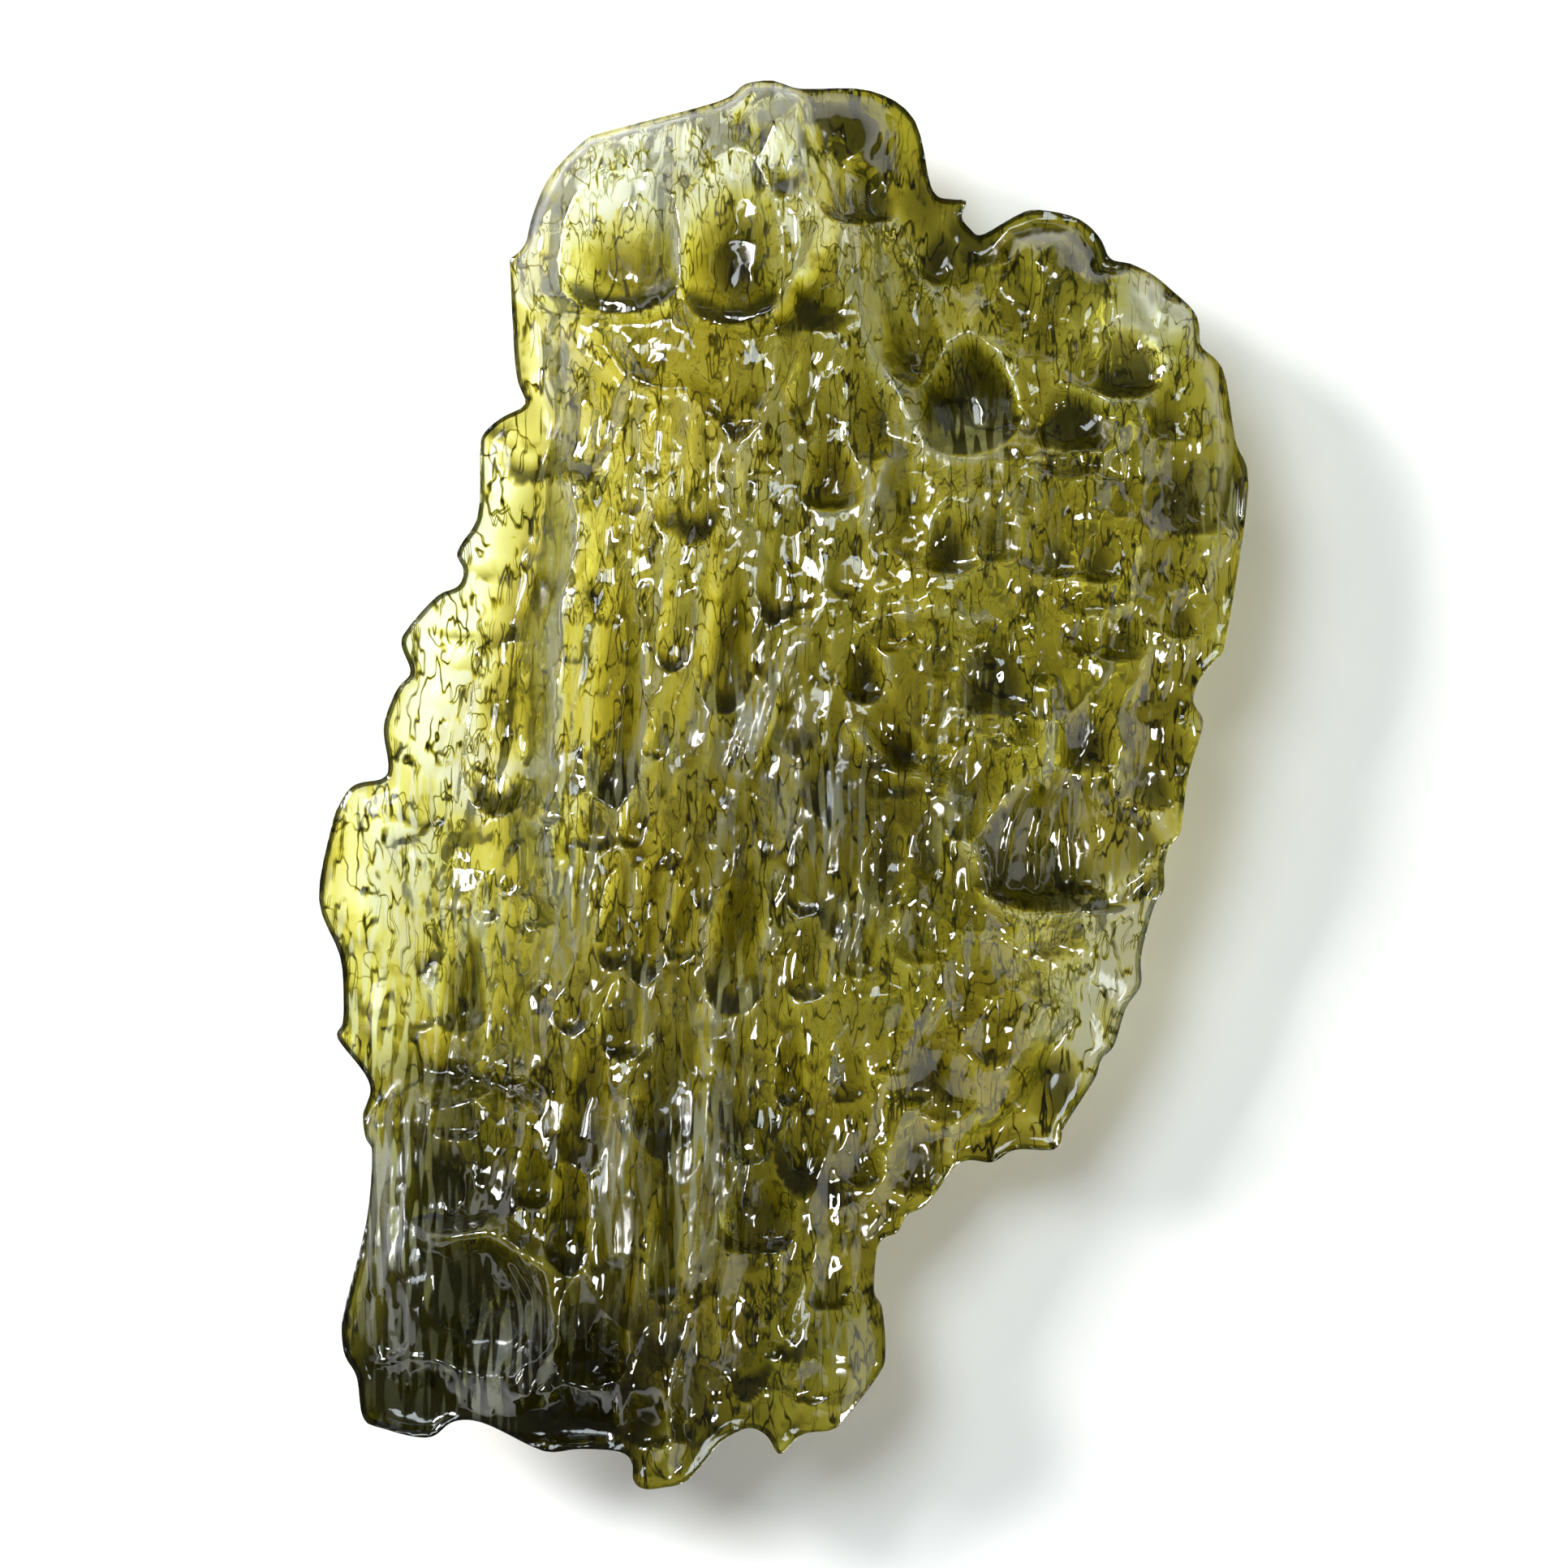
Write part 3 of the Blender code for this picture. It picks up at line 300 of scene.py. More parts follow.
# Calm zones, where the small pits fade: x, y, reach across, reach along, lean, share
CALM_ZONES = [
    (-7.8, -1.0, 2.0, 4.0, 8, 0.7), (-6.9, 4.0, 1.2, 3.0, 12, 0.7), (-5.2, 8.8, 0.9, 1.6, 0, 0.7),
    (-2.2, 8.8, 2.0, 0.9, 0, 0.8), (-3.3, 11.8, 1.5, 1.7, 0, 0.9), (-1.1, 11.8, 1.1, 1.8, 0, 0.9),
    (1.4, 13.9, 1.6, 0.8, 0, 0.9), (5.5, 11.1, 1.2, 0.9, 0, 0.7), (3.9, 8.2, 1.0, 1.2, 0, 0.7),
    (6.0, -1.2, 2.0, 1.3, 0, 0.8), (-8.3, -9.0, 0.8, 2.5, 0, 0.6), (1.3, -12.4, 0.8, 1.2, 0, 0.7),
    (8.8, 7.9, 0.6, 1.2, 0, 0.6), (5.0, -7.1, 0.9, 0.7, 0, 0.7), (-6.2, -10.9, 1.2, 1.2, 0, 0.6),
]

# The shade of the glass, 0 palest: the body's, the one that counts as wholly dark, and zones that are
# darker or, below zero, paler: x, y, reach across, reach along, lean, amount. The zones are partly the
# glass's own tone and partly painted light: those at (7.5, -4.0) and (6.4, -5.3) paint light onto the
# lower right rim, which lies in the stone's shadow, those at (3.0, 7.2) and (4.1, 7.0) are painted
# glints, and those at (-3.6, 12.8) and (-1.2, 13.1) paint the thick boss pale as if light shone through it
BODY_SHADE = 1.0
DARKEST = 4.0
TONE_AND_PAINTED_LIGHT_ZONES = [
    (-8.2, -2.0, 2.2, 4.2, 8, -0.35), (-6.9, 4.6, 1.3, 3.6, 12, -0.95), (-5.3, 9.4, 1.0, 1.8, 0, -0.9),
    (-3.6, 12.8, 1.6, 1.4, 0, -1.5), (-1.2, 13.1, 1.1, 1.2, 0, -1.2), (-1.5, 7.0, 2.6, 2.8, 0, -0.4),
    (7.5, -4.0, 0.8, 2.2, -12, -4.5), (7.9, 10.2, 0.9, 0.6, 0, -1.0), (9.3, 3.0, 0.4, 1.4, 0, -0.7),
    (6.8, 3.0, 2.4, 4.5, 0, 0.65), (7.0, 8.0, 2.4, 2.0, 0, 0.35), (2.0, 12.4, 1.1, 0.8, 0, 1.0),
    (1.6, 13.9, 1.1, 0.9, 0, 1.5), (5.2, 11.0, 1.3, 1.2, 0, 0.95), (-6.4, -12.5, 3.0, 2.2, 0, 4.3),
    (-3.8, -13.3, 2.4, 1.3, 0, 1.2), (-3.0, -8.5, 3.4, 3.2, 0, 1.0), (-6.8, -6.3, 1.8, 0.6, 0, 1.0),
    (0.8, -8.0, 2.0, 2.0, 0, 0.7), (0.6, -12.0, 1.6, 1.5, 0, 0.7), (-7.5, -8.6, 1.6, 2.4, 0, 2.4),
    (-7.9, -13.1, 1.2, 0.8, 0, 1.2), (2.5, -1.0, 2.0, 2.4, 0, 0.85), (2.3, 10.4, 0.7, 1.7, -18, -3.6),
    (3.0, 7.2, 0.45, 0.25, 0, -1.6), (4.1, 7.0, 0.3, 0.2, 0, -1.4), (6.2, -0.9, 1.9, 1.1, 0, -1.6),
    (4.0, -5.5, 1.6, 1.6, 0, 0.6), (-2.0, 8.8, 1.6, 0.9, 0, 0.55), (-1.1, 11.0, 0.9, 0.9, 0, 1.25),
    (-5.9, 0.2, 0.8, 0.6, 0, -1.8), (-3.5, 10.9, 0.9, 0.6, 0, 0.9), (-6.9, -4.3, 0.5, 0.8, 0, 0.7),
    (6.4, -5.3, 0.9, 1.3, -20, -3.0), (7.2, 9.0, 0.9, 0.7, 0, -1.6), (3.4, 8.7, 0.6, 0.6, 0, -1.4),
    (0.6, 12.4, 0.4, 1.6, -22, -1.0), (4.9, -3.4, 0.9, 0.6, 0, -0.8),
]

# The hue of the glass, from greenish below zero to golden: zones like those of the shade, and noises
# laid over them, as width, length, lean and seed
HUE_ZONES = [
    (2.3, 10.2, 0.9, 1.8, -18, 0.8), (-2.2, 8.4, 2.2, 1.2, 0, 0.6), (0.9, 6.5, 0.7, 0.8, 0, 0.9),
    (-3.4, 1.6, 1.0, 2.6, 5, 0.5), (-1.1, 3.4, 0.6, 1.8, 5, 0.6), (-2.6, -2.6, 1.6, 1.8, 5, 0.8),
    (-0.9, -3.0, 0.7, 1.8, 5, 0.5), (0.1, -5.8, 0.5, 1.0, 0, 0.9), (-4.2, -7.4, 1.2, 1.6, 0, 0.7),
    (4.5, -5.8, 1.6, 1.4, 0, 0.5), (7.2, 9.0, 0.9, 0.7, 0, 0.8), (-1.8, 2.0, 2.6, 5.0, 5, 0.3),
    (-6.0, 1.0, 0.6, 1.8, 5, 0.5), (7.0, 7.5, 2.4, 2.4, 0, -0.6), (1.5, 13.8, 1.6, 1.1, 0, -0.9),
    (5.3, 11.0, 1.4, 1.2, 0, -0.8), (6.4, 1.8, 2.2, 2.0, 0, -0.4), (6.1, -1.1, 1.7, 1.0, 0, 1.2),
    (-8.4, -1.0, 1.6, 4.5, 8, -0.6), (-6.8, 5.0, 1.0, 2.5, 12, -0.5), (-3.0, 13.0, 2.2, 1.3, 0, -0.7),
    (1.2, -12.2, 1.2, 1.6, 0, -0.5), (-7.6, -9.5, 1.8, 4.0, 0, -0.8),
]
HUE_NOISE = [(1.6, 2.4, 10.0, 95), (0.6, 1.0, -10.0, 96)]
HUE_SWING = 0.45

# Satin zones with a painted silvery sheen, where the striae stand out: x, y, reach across, reach along,
# lean, share
SATIN_AND_PAINTED_SHEEN_ZONES = [
    (-2.9, 0.4, 0.5, 1.0, 25, 0.6), (-1.5, 1.4, 0.6, 0.8, 25, 0.6), (-4.4, -2.4, 0.5, 1.6, 10, 0.8),
    (-1.3, -1.4, 0.35, 1.2, 12, 0.7), (1.2, -0.9, 0.6, 1.0, 15, 0.7), (1.5, -3.2, 0.5, 1.2, 15, 0.8),
    (3.6, -0.9, 0.5, 0.7, 0, 0.8), (3.6, 1.6, 0.6, 0.8, 0, 0.6), (-2.9, -4.3, 0.4, 0.8, 10, 0.6),
    (-4.7, 2.0, 0.35, 4.0, 0, 0.6), (-0.4, 1.5, 0.6, 1.4, 25, 1.0), (-1.2, -4.4, 0.5, 0.9, 25, 1.0),
    (-1.7, -8.0, 0.7, 2.6, 5, 1.0), (-3.4, -8.6, 0.5, 1.8, 3, 0.8), (-8.2, -8.6, 0.9, 2.8, 0, 0.9),
    (-8.4, -2.0, 1.0, 3.0, 8, 0.6), (-8.2, -5.0, 1.2, 0.7, 0, 0.7), (-3.4, 12.8, 1.2, 0.9, 0, 0.5),
    (0.2, 13.2, 0.7, 1.2, -15, 0.6), (2.0, 6.2, 0.4, 0.9, 12, 0.9), (-6.4, -12.7, 0.8, 0.7, 0, 0.9),
    (-6.6, -3.0, 0.9, 0.7, 0, 0.8), (0.5, -0.5, 0.9, 1.6, 15, 0.5), (4.7, 5.9, 0.8, 1.2, 0, 0.5),
    (8.0, 10.3, 0.8, 0.6, 0, 0.7), (9.3, 6.0, 0.5, 1.2, 0, 0.5), (3.4, 7.2, 0.9, 0.5, 0, 0.8),
    (-5.6, -11.6, 1.0, 0.8, -20, 0.6), (1.0, -11.6, 0.4, 0.6, 0, 0.6), (7.2, -3.6, 0.8, 1.5, 0, 0.4),
]

# A map of the face, in cells of this size, is blurred over two reaches. Places below the far blur lie in
# a pit, and places above the near blur on a crest. A blur ends after this many times its reach.
MAP_CELL = 0.07
NEAR_BLUR, FAR_BLUR = 0.2, 0.9
BLUR_REACHES = 3

# The height or depth at which crests and pits count in full, and how much painted highlight the crests and
# painted shade the pits get
NEAR_CREST, CREST_PAINTED_HIGHLIGHT, CREST_POWER = 0.12, 1.5, 1.5
FAR_PIT, PIT_PAINTED_SHADE = 0.4, 1.3

# The painted shade on the wall at a pit's lower end: how fast it sets in downwards and outwards, and for
# the broad and the medium pits the depth at which it counts in full and how much shade is painted there
WALL_STEEPNESS, WALL_START, WALL_SPAN = 1.8, 0.05, 0.5
DEEP_PIT, WALL_PAINTED_SHADE, LEAST_WALL = 0.35, 5.5, 0.2
MEDIUM_PIT, MEDIUM_PAINTED_SHADE = 0.08, 1.5

# Where the pits are round, the painted wall shade fades by this share and the bottoms get painted pools of
# shade
WALL_FADE = 0.6
POOL_PAINTED_SHADE, POOL_DEPTH, POOL_POWER = 2.2, 0.6, 3

# The glass: its tint from the palest shade to the darkest, the hues that colour the tint, the painted
# silvery sheen, and the plain values of clear glass
TINTS = [
    (0.0, (0.96, 0.97, 0.96)), (0.1, (0.91, 0.91, 0.72)), (0.22, (0.84, 0.785, 0.16)),
    (0.35, (0.6, 0.53, 0.06)), (0.5, (0.3, 0.255, 0.015)), (0.75, (0.07, 0.06, 0.004)),
    (1.0, (0.012, 0.011, 0.001)),
]
GREENISH = (0.93, 0.99, 0.97, 1.0)
GOLDEN = (1.0, 0.945, 0.7, 1.0)
PAINTED_SHEEN_COLOUR = (0.82, 0.89, 0.91, 1.0)
CLEAR_SHARE = 0.93
GLASS_IOR = 1.49
ABSORB_COLOUR = (0.93, 0.925, 0.68, 1.0)
ABSORB_DENSITY = 300.0

# Crinkle lines in the glass's skin: cells per metre, stretch along the flow, half width of a line
# in the noise's own measure, how much a line darkens, and its share where the glass isn't pale
FLOW_LEAN = 7.0
CRINKLES = [(1500.0, 0.55, 0.02, 0.8, 0.15), (2800.0, 0.25, 0.035, 0.75, 0.8)]
CRINKLE_DETAIL = 2.0

# Patches of the skin: cells per metre, detail, the part of the noise's range over which the crinkle
# lines set in, and the shades over which pale glass ends
PATCH_CELLS, PATCH_DETAIL = 1500.0, 1.0
LINED_RANGE = (0.33, 0.5)
PALE_RANGE = (0.12, 0.26)

# Striae of the skin: cells per metre, stretch, the part of the noise's range over which a silvery sheen is
# painted on them, and the strength of their relief where the glass isn't silvery and where it is
STRIA_CELLS, STRIA_STRETCH = 6500.0, 0.13
PAINTED_SHEEN_RANGE = (0.5, 0.6)
STRIA_RELIEF = (0.5, 2.5)
SKIN_BUMP, BUMP_STRENGTH = 0.00002, 0.7

# Roughness where the glass isn't silvery and where it is, and what some patches have besides
SATIN_ROUGHNESS = (0.05, 0.25)
MOTTLED_RANGE, MOTTLED_ROUGHNESS = (0.35, 0.7), 0.08

# How often a ray may bounce about in the stone, and off dull surfaces such as the floor
MOST_BOUNCES = 5
FLOOR_BOUNCES = 2

# The floor, in metres: pale, dull paper
FLOOR_SIZE = 3.0
FLOOR_COLOUR = (0.8, 0.79, 0.76, 1.0)
FLOOR_ROUGHNESS, FLOOR_SHINE = 0.9, 0.1

# A hair's breadth between the flat spot and the floor, so that the two never share a plane
FLOOR_GAP = 0.03

# Soft square lamps, in metres and watts: name, place, size, power and colour
WHITE = (1.0, 1.0, 1.0)
LAMPS = [
    ("key", (-0.28, 0.14, 0.17), 0.12, 2.6, WHITE),
    ("rim", (0.22, -0.2, 0.1), 0.07, 0.9, WHITE),
    ("sheen", (-0.13, 0.15, 0.32), 0.17, 1.0, (0.85, 0.94, 1.0)),
]
WORLD_COLOUR, WORLD_STRENGTH = (0.9, 0.95, 1.0, 1.0), 0.1

# The camera: the photo's width in pixels, its scale at the height of the stone's edge, the lens and the
# sensor in mm, and the nearest and farthest that it sees, in metres
PHOTO_PIXELS = 1932
PIXELS_PER_MM = 58.0
LENS = 180.0
SENSOR = 36.0
NEAREST, FARTHEST = 0.002, 10.0


def closed_curve(points, steps):
    """A smooth closed line through the points, with this many steps from one to the next."""
    here = np.array(points, float)
    before, after, later = (np.roll(here, shift, axis=0) for shift in (1, -1, -2))
    line = []
    for step in range(steps):
        t = step / steps
        bend = 2 * before - 5 * here + 4 * after - later
        twist = 3 * here - 3 * after + later - before
        line.append(here + 0.5 * ((after - before) * t + bend * t**2 + twist * t**3))
    return np.stack(line, axis=1).reshape(-1, 2)


def smooth(t):
    t = np.clip(t, 0, 1)
    return t * t * (3 - 2 * t)


def distance_to_line(places, corners):
    """Distance from each place to an open line through the corners."""
    nearest = np.full(len(places), np.inf)
    for start, end in zip(corners[:-1], corners[1:]):
        along = end - start
        offset = places - start
        share = np.clip(offset @ along / (along @ along), 0, 1)
        gap = offset - share[:, None] * along
        nearest = np.minimum(nearest, (gap**2).sum(axis=1))
    return np.sqrt(nearest)


def inside_loop(places, corners):
    """Whether each place lies inside the closed loop through the corners."""
    inside = np.zeros(len(places), bool)
    for start, end in zip(corners, np.roll(corners, -1, axis=0)):
        if start[1] == end[1]:
            continue
        crosses = (start[1] > places[:, 1]) != (end[1] > places[:, 1])
        meets = start[0] + (places[:, 1] - start[1]) * (end[0] - start[0]) / (end[1] - start[1])
        inside ^= crosses & (places[:, 0] < meets)
    return inside


def depth_inside(places, corners):
    """Distance to a closed loop, below zero outside it."""
    distance = distance_to_line(places, np.vstack([corners, corners[:1]]))
    return np.where(inside_loop(places, corners), distance, -distance)


def turned(places, centre, lean):
    """Places measured across and along a direction that leans this far from +Y towards +X."""
    angle = math.radians(lean)
    offset = places - np.array(centre)
    across = offset[:, 0] * math.cos(angle) - offset[:, 1] * math.sin(angle)
    along = offset[:, 0] * math.sin(angle) + offset[:, 1] * math.cos(angle)
    return across, along


def drop_shape(across, along):
    """One pit where across and along run from -1 to 1 over it: its depth, and the mask of painted shade on
    its lower wall.
    """
    stretch = np.where(along > PIT_DEEPEST, 1 - PIT_DEEPEST, 1 + PIT_DEEPEST)
    reach = (along - PIT_DEEPEST) / stretch
    far = across**2 + reach**2
    shape = np.clip(1 - far, 0, None)
    wall = np.clip(-WALL_STEEPNESS * reach, 0, 1) * smooth((far - WALL_START) / WALL_SPAN)
    return shape, np.where(shape > 0, wall, 0)


def keep_deeper(found, depth, shape, wall):
    """Adds a pit to those found so far: where two overlap, the deeper one counts."""
    deeper = depth * shape > found[0]
    found[0] = np.where(deeper, depth * shape, found[0])
    found[1] = np.where(deeper, wall, found[1])


def steps_height(places):
    total = np.zeros(len(places))
    for height, softness, corners in STEPS:
        loop = closed_curve(corners, CURVE_STEPS)
        total += height * smooth(0.5 + 0.5 * depth_inside(places, loop) / softness)
    return total


def swellings_height(places):
    total = np.zeros(len(places))
    for x, y, reach_across, reach_along, lean, height in SWELLINGS:
        across, along = turned(places, (x, y), lean)
        total += height * np.exp(-((across / reach_across) ** 2) - (along / reach_along) ** 2)
    return total


def ridges_height(places):
    total = np.zeros(len(places))
    for height, reach, corners in RIDGES:
        distance = distance_to_line(places, np.array(corners))
        total += height * np.exp(-((distance / reach) ** 2))
    return total


def named_pits(places):
    """Depth and lower walls of the named pits. Where two overlap, a sharp edge is left between."""
    found = [np.zeros(len(places)), np.zeros(len(places))]
    for x, y, half_width, half_length, lean, depth in PITS:
        across, along = turned(places, (x, y), lean)
        shape, wall = drop_shape(across / (PIT_SPREAD * half_width), along / (PIT_SPREAD * half_length))
        keep_deeper(found, depth, shape, wall)
    return found


def skin_pits(places, skin):
    """Depth and lower walls of small pits, one to a cell of a leaning grid, shifted by seeded numbers."""
    cell_width, cell_length, lean, depth, seed = skin
    cells = 64
    jitter = np.random.default_rng(seed).random((5, cells, cells))
    across, along = turned(places, (0, 0), lean)
    across, along = across / cell_width, along / cell_length
    found = [np.zeros(len(places)), np.zeros(len(places))]
    for near_column in (-1, 0, 1):
        column = np.floor(across).astype(int) + near_column
        staggered = along + jitter[4, column % cells, 0]
        for near_row in (-1, 0, 1):
            row = np.floor(staggered).astype(int) + near_row
            shift_x, shift_y, size, share = jitter[:4, column % cells, row % cells]
            x = across - (column + PLACE_LEAST + PLACE_SPAN * shift_x)
            y = staggered - (row + shift_y)
            reach = REACH_LEAST + REACH_SPAN * size
            shape, wall = drop_shape(x / reach, y / reach)
            keep_deeper(found, depth * (DEPTH_LEAST + DEPTH_SPAN * share), shape, wall)
    return found


def round_share(places):
    """0 where the small pits are long and 1 where they are round."""
    return smooth((places[:, 0] - ROUND_FROM) / (ROUND_TO - ROUND_FROM))


def broad_pits(places):
    """Depth and lower walls of the named pits and, where the face isn't calm, those of its skin."""
    found = named_pits(places)
    rough = 1 - zones_share(places, CALM_ZONES)
    for share, skin in ((1 - round_share(places), LONG_SKIN), (round_share(places), ROUND_SKIN)):
        keep_deeper(found, rough * share, *skin_pits(places, skin))
    return found


def medium_pits(places):
    """Depth and lower walls of the medium pits, which the solid leaves out."""
    found = [np.zeros(len(places)), np.zeros(len(places))]
    rough = 1 - zones_share(places, CALM_ZONES)
    for share, skin in ((1 - round_share(places), MEDIUM_LONG), (round_share(places), MEDIUM_ROUND)):
        keep_deeper(found, rough * share, *skin_pits(places, skin))
    return found


def value_noise(places, width, length, lean, seed):
    """Smooth noise from -1 to 1 with cells of this width and length, in a leaning grid."""
    cells = 256
    values = np.random.default_rng(seed).random((cells, cells)) * 2 - 1
    across, along = turned(places, (0, 0), lean)
    across, along = across / width, along / length
    column, row = np.floor(across).astype(int), np.floor(along).astype(int)
    u, v = smooth(across - column), smooth(along - row)
    left, right = column % cells, (column + 1) % cells
    low, high = row % cells, (row + 1) % cells
    near = values[left, low] * (1 - u) + values[right, low] * u
    far = values[left, high] * (1 - u) + values[right, high] * u
    return near * (1 - v) + far * v


def bent(places):
    """The places pushed about a little, so that nothing laid over them runs dead straight."""
    pushes = []
    for bends in (BENDS_X, BENDS_Y):
        pushes.append(sum(share * value_noise(places, *noise) for share, *noise in bends))
    return places + BEND * np.column_stack(pushes)


def zones_sum(places, zones):
    """The sum of soft round zones: x, y, reach across, reach along, lean, amount."""
    total = np.zeros(len(places))
    for x, y, reach_across, reach_along, lean, amount in zones:
        across, along = turned(places, (x, y), lean)
        total += amount * np.exp(-((across / reach_across) ** 2) - (along / reach_along) ** 2)
    return total


def zones_share(places, zones):
    return np.clip(zones_sum(places, zones), 0, 1)


def fine_relief(places):
    """What the face has beyond the solid: fine pits, striae, folds and wrinkles."""
    pushed = bent(places)
    rough = 1 - zones_share(places, CALM_ZONES)
    patches = smooth(0.5 + value_noise(places, *LIVELY_PATCHES))
    lively = LEAST_LIVELY + (1 - LEAST_LIVELY) * rough * patches
    relief = -medium_pits(pushed)[0] - lively * skin_pits(pushed, SMALL_SKIN)[0]
    striped = lively + SILVER_STRIAE * zones_share(places, SATIN_AND_PAINTED_SHEEN_ZONES)
    for width, length, lean, height, seed in STRIAE:
        relief += height * striped * value_noise(pushed, width, length, lean, seed)
    for width, length, lean, height, seed in FOLDS:
        relief -= height * lively * np.abs(value_noise(pushed, width, length, lean, seed))
    for line in FINE_RIDGES:
        relief += FINE_RIDGE * np.exp(-((distance_to_line(places, np.array(line)) / FINE_REACH) ** 2))
    for width, length, lean, height, seed in WRINKLES:
        relief -= height * (1 - np.abs(value_noise(pushed, width, length, lean, seed))) ** WRINKLE_POWER
    return relief


def edge_wave(places):
    """How far the edge rises and falls on its way round."""
    x, y = places.T
    return sum(height * np.sin(per_x * x + per_y * y + start) for height, per_x, per_y, start in EDGE_WAVES)


def edge_glass(depth):
    """Half the thickness near the edge, which is rounded over."""
    t = np.clip(depth / EDGE_ROUNDING, 0, 1)
    return EDGE_GLASS * (EDGE_LEAST + (1 - EDGE_LEAST) * np.sqrt(t * (2 - t)))


def underside_height(places, depth):
    x, y = (places - np.array(REST_CENTRE)).T
    swell = np.exp(-((x / REST_REACH[0]) ** 2) - (y / REST_REACH[1]) ** 2)
    height = EDGE_HEIGHT + edge_wave(places) - edge_glass(depth)
    height -= BELLY_DEPTH * (1 - np.exp(-depth / BELLY_REACH)) + REST_SWELL * swell
    height += skin_pits(places, UNDERSIDE_SKIN)[0] * smooth(depth) * (1 - smooth(2 * swell - 1))
    height += smooth(depth) * (skin_pits(places, UNDERSIDE_FINE)[0] - UNDERSIDE_SINK)
    return np.maximum(height, 0)


def broad_face(places, depth):
    """The face without its fine relief."""
    height = EDGE_HEIGHT + edge_wave(places) + edge_glass(depth)
    height += FACE_RISE * (1 - np.exp(-depth / RISE_REACH))
    within = smooth(depth / EDGE_ROUNDING)
    steps = steps_height(places)
    height += np.minimum(steps, 0) + smooth(depth / RAISED_START) * np.maximum(steps, 0)
    height += within * (swellings_height(places) + ridges_height(places))
    return height - within * broad_pits(places)[0]


def face_height(places, depth):
    return broad_face(places, depth) + (0.5 + 0.5 * smooth(depth / EDGE_ROUNDING)) * fine_relief(places)


def thick_enough(high, low):
    """The face, lifted softly where it comes closer to the underside than the least thickness."""
    spare = high - low - LEAST_GLASS
    return low + LEAST_GLASS + (spare + np.sqrt(spare**2 + GLASS_SOFTNESS**2)) / 2


def edge_distance(places):
    """How far inside the outline each place lies, 0 outside it."""
    return np.maximum(depth_inside(places, closed_curve(OUTLINE, CURVE_STEPS)), 0)


def sculpted(points):
    """The blank's points moved onto the stone's two faces. Points between them share the thickness."""
    places = points[:, :2]
    depth = edge_distance(places)
    low = underside_height(places, depth)
    high = thick_enough(face_height(places, depth), low)
    level = points[:, 2]
    share = (level - level.min()) / (level.max() - level.min())
    return np.column_stack([places, low + share * (high - low)])


def blurred(heights, reach):
    """The map smoothed over this reach, in mm."""
    half = int(BLUR_REACHES * reach / MAP_CELL)
    offsets = np.arange(-half, half + 1) * MAP_CELL
    weights = np.exp(-((offsets / reach) ** 2))
    weights /= weights.sum()
    padded = np.pad(heights, half, mode="edge")
    rows = np.apply_along_axis(np.convolve, 1, padded, weights, "valid")
    return np.apply_along_axis(np.convolve, 0, rows, weights, "valid")


def sampled(values, places, corner):
    """The map's value at each place, between its four nearest cells."""
    at = (places - corner) / MAP_CELL
    column = np.clip(np.floor(at[:, 0]).astype(int), 0, values.shape[1] - 2)
    row = np.clip(np.floor(at[:, 1]).astype(int), 0, values.shape[0] - 2)
    u, v = at[:, 0] - column, at[:, 1] - row
    low = values[row, column] * (1 - u) + values[row, column + 1] * u
    high = values[row + 1, column] * (1 - u) + values[row + 1, column + 1] * u
    return low * (1 - v) + high * v


def painted_shade_and_highlight_of_map(places):
    """Painted shade where a place lies below what surrounds it, and a painted highlight where it lies on a
    crest.
    """
    corner = places.min(axis=0) - MAP_CELL
    across = np.arange(corner[0], places[:, 0].max() + 2 * MAP_CELL, MAP_CELL)
    along = np.arange(corner[1], places[:, 1].max() + 2 * MAP_CELL, MAP_CELL)
    grid = np.stack(np.meshgrid(across, along), axis=-1).reshape(-1, 2)
    heights = broad_face(grid, edge_distance(grid)).reshape(len(along), len(across))
    in_pit = np.clip((blurred(heights, FAR_BLUR) - heights) / FAR_PIT, 0, 1)
    crest = np.clip((heights - blurred(heights, NEAR_BLUR)) / NEAR_CREST, 0, 1)
    return sampled(PIT_PAINTED_SHADE * in_pit - CREST_PAINTED_HIGHLIGHT * crest**CREST_POWER, places, corner)


def painted_shade_of_walls(places):
    """The painted shade on the walls at the pits' lower ends, and painted pools of shade in the round pits.
    """
    rounded = round_share(places)
    wall_share = 1 - WALL_FADE * rounded
    broad, broad_wall = broad_pits(places)
    medium, medium_wall = medium_pits(bent(places))
    dark = WALL_PAINTED_SHADE * wall_share * broad_wall * np.clip(broad / DEEP_PIT, LEAST_WALL, 1)
    dark += POOL_PAINTED_SHADE * rounded * np.clip(broad / POOL_DEPTH, 0, 1) ** POOL_POWER
    dark += MEDIUM_PAINTED_SHADE * wall_share * medium_wall * np.clip(medium / MEDIUM_PIT, 0, 1)
    return dark


def painted_pit_shade_and_highlight(places):
    """Painted shade, high in the pits and most of all on the wall at a pit's lower end, and painted
    highlights on the crests.
    """
    return painted_shade_and_highlight_of_map(places) + painted_shade_of_walls(places)


def store(stone, name, values):
    attribute = stone.data.attributes.new(name, "FLOAT", "POINT")
    attribute.data.foreach_set("value", values.astype(np.float32))


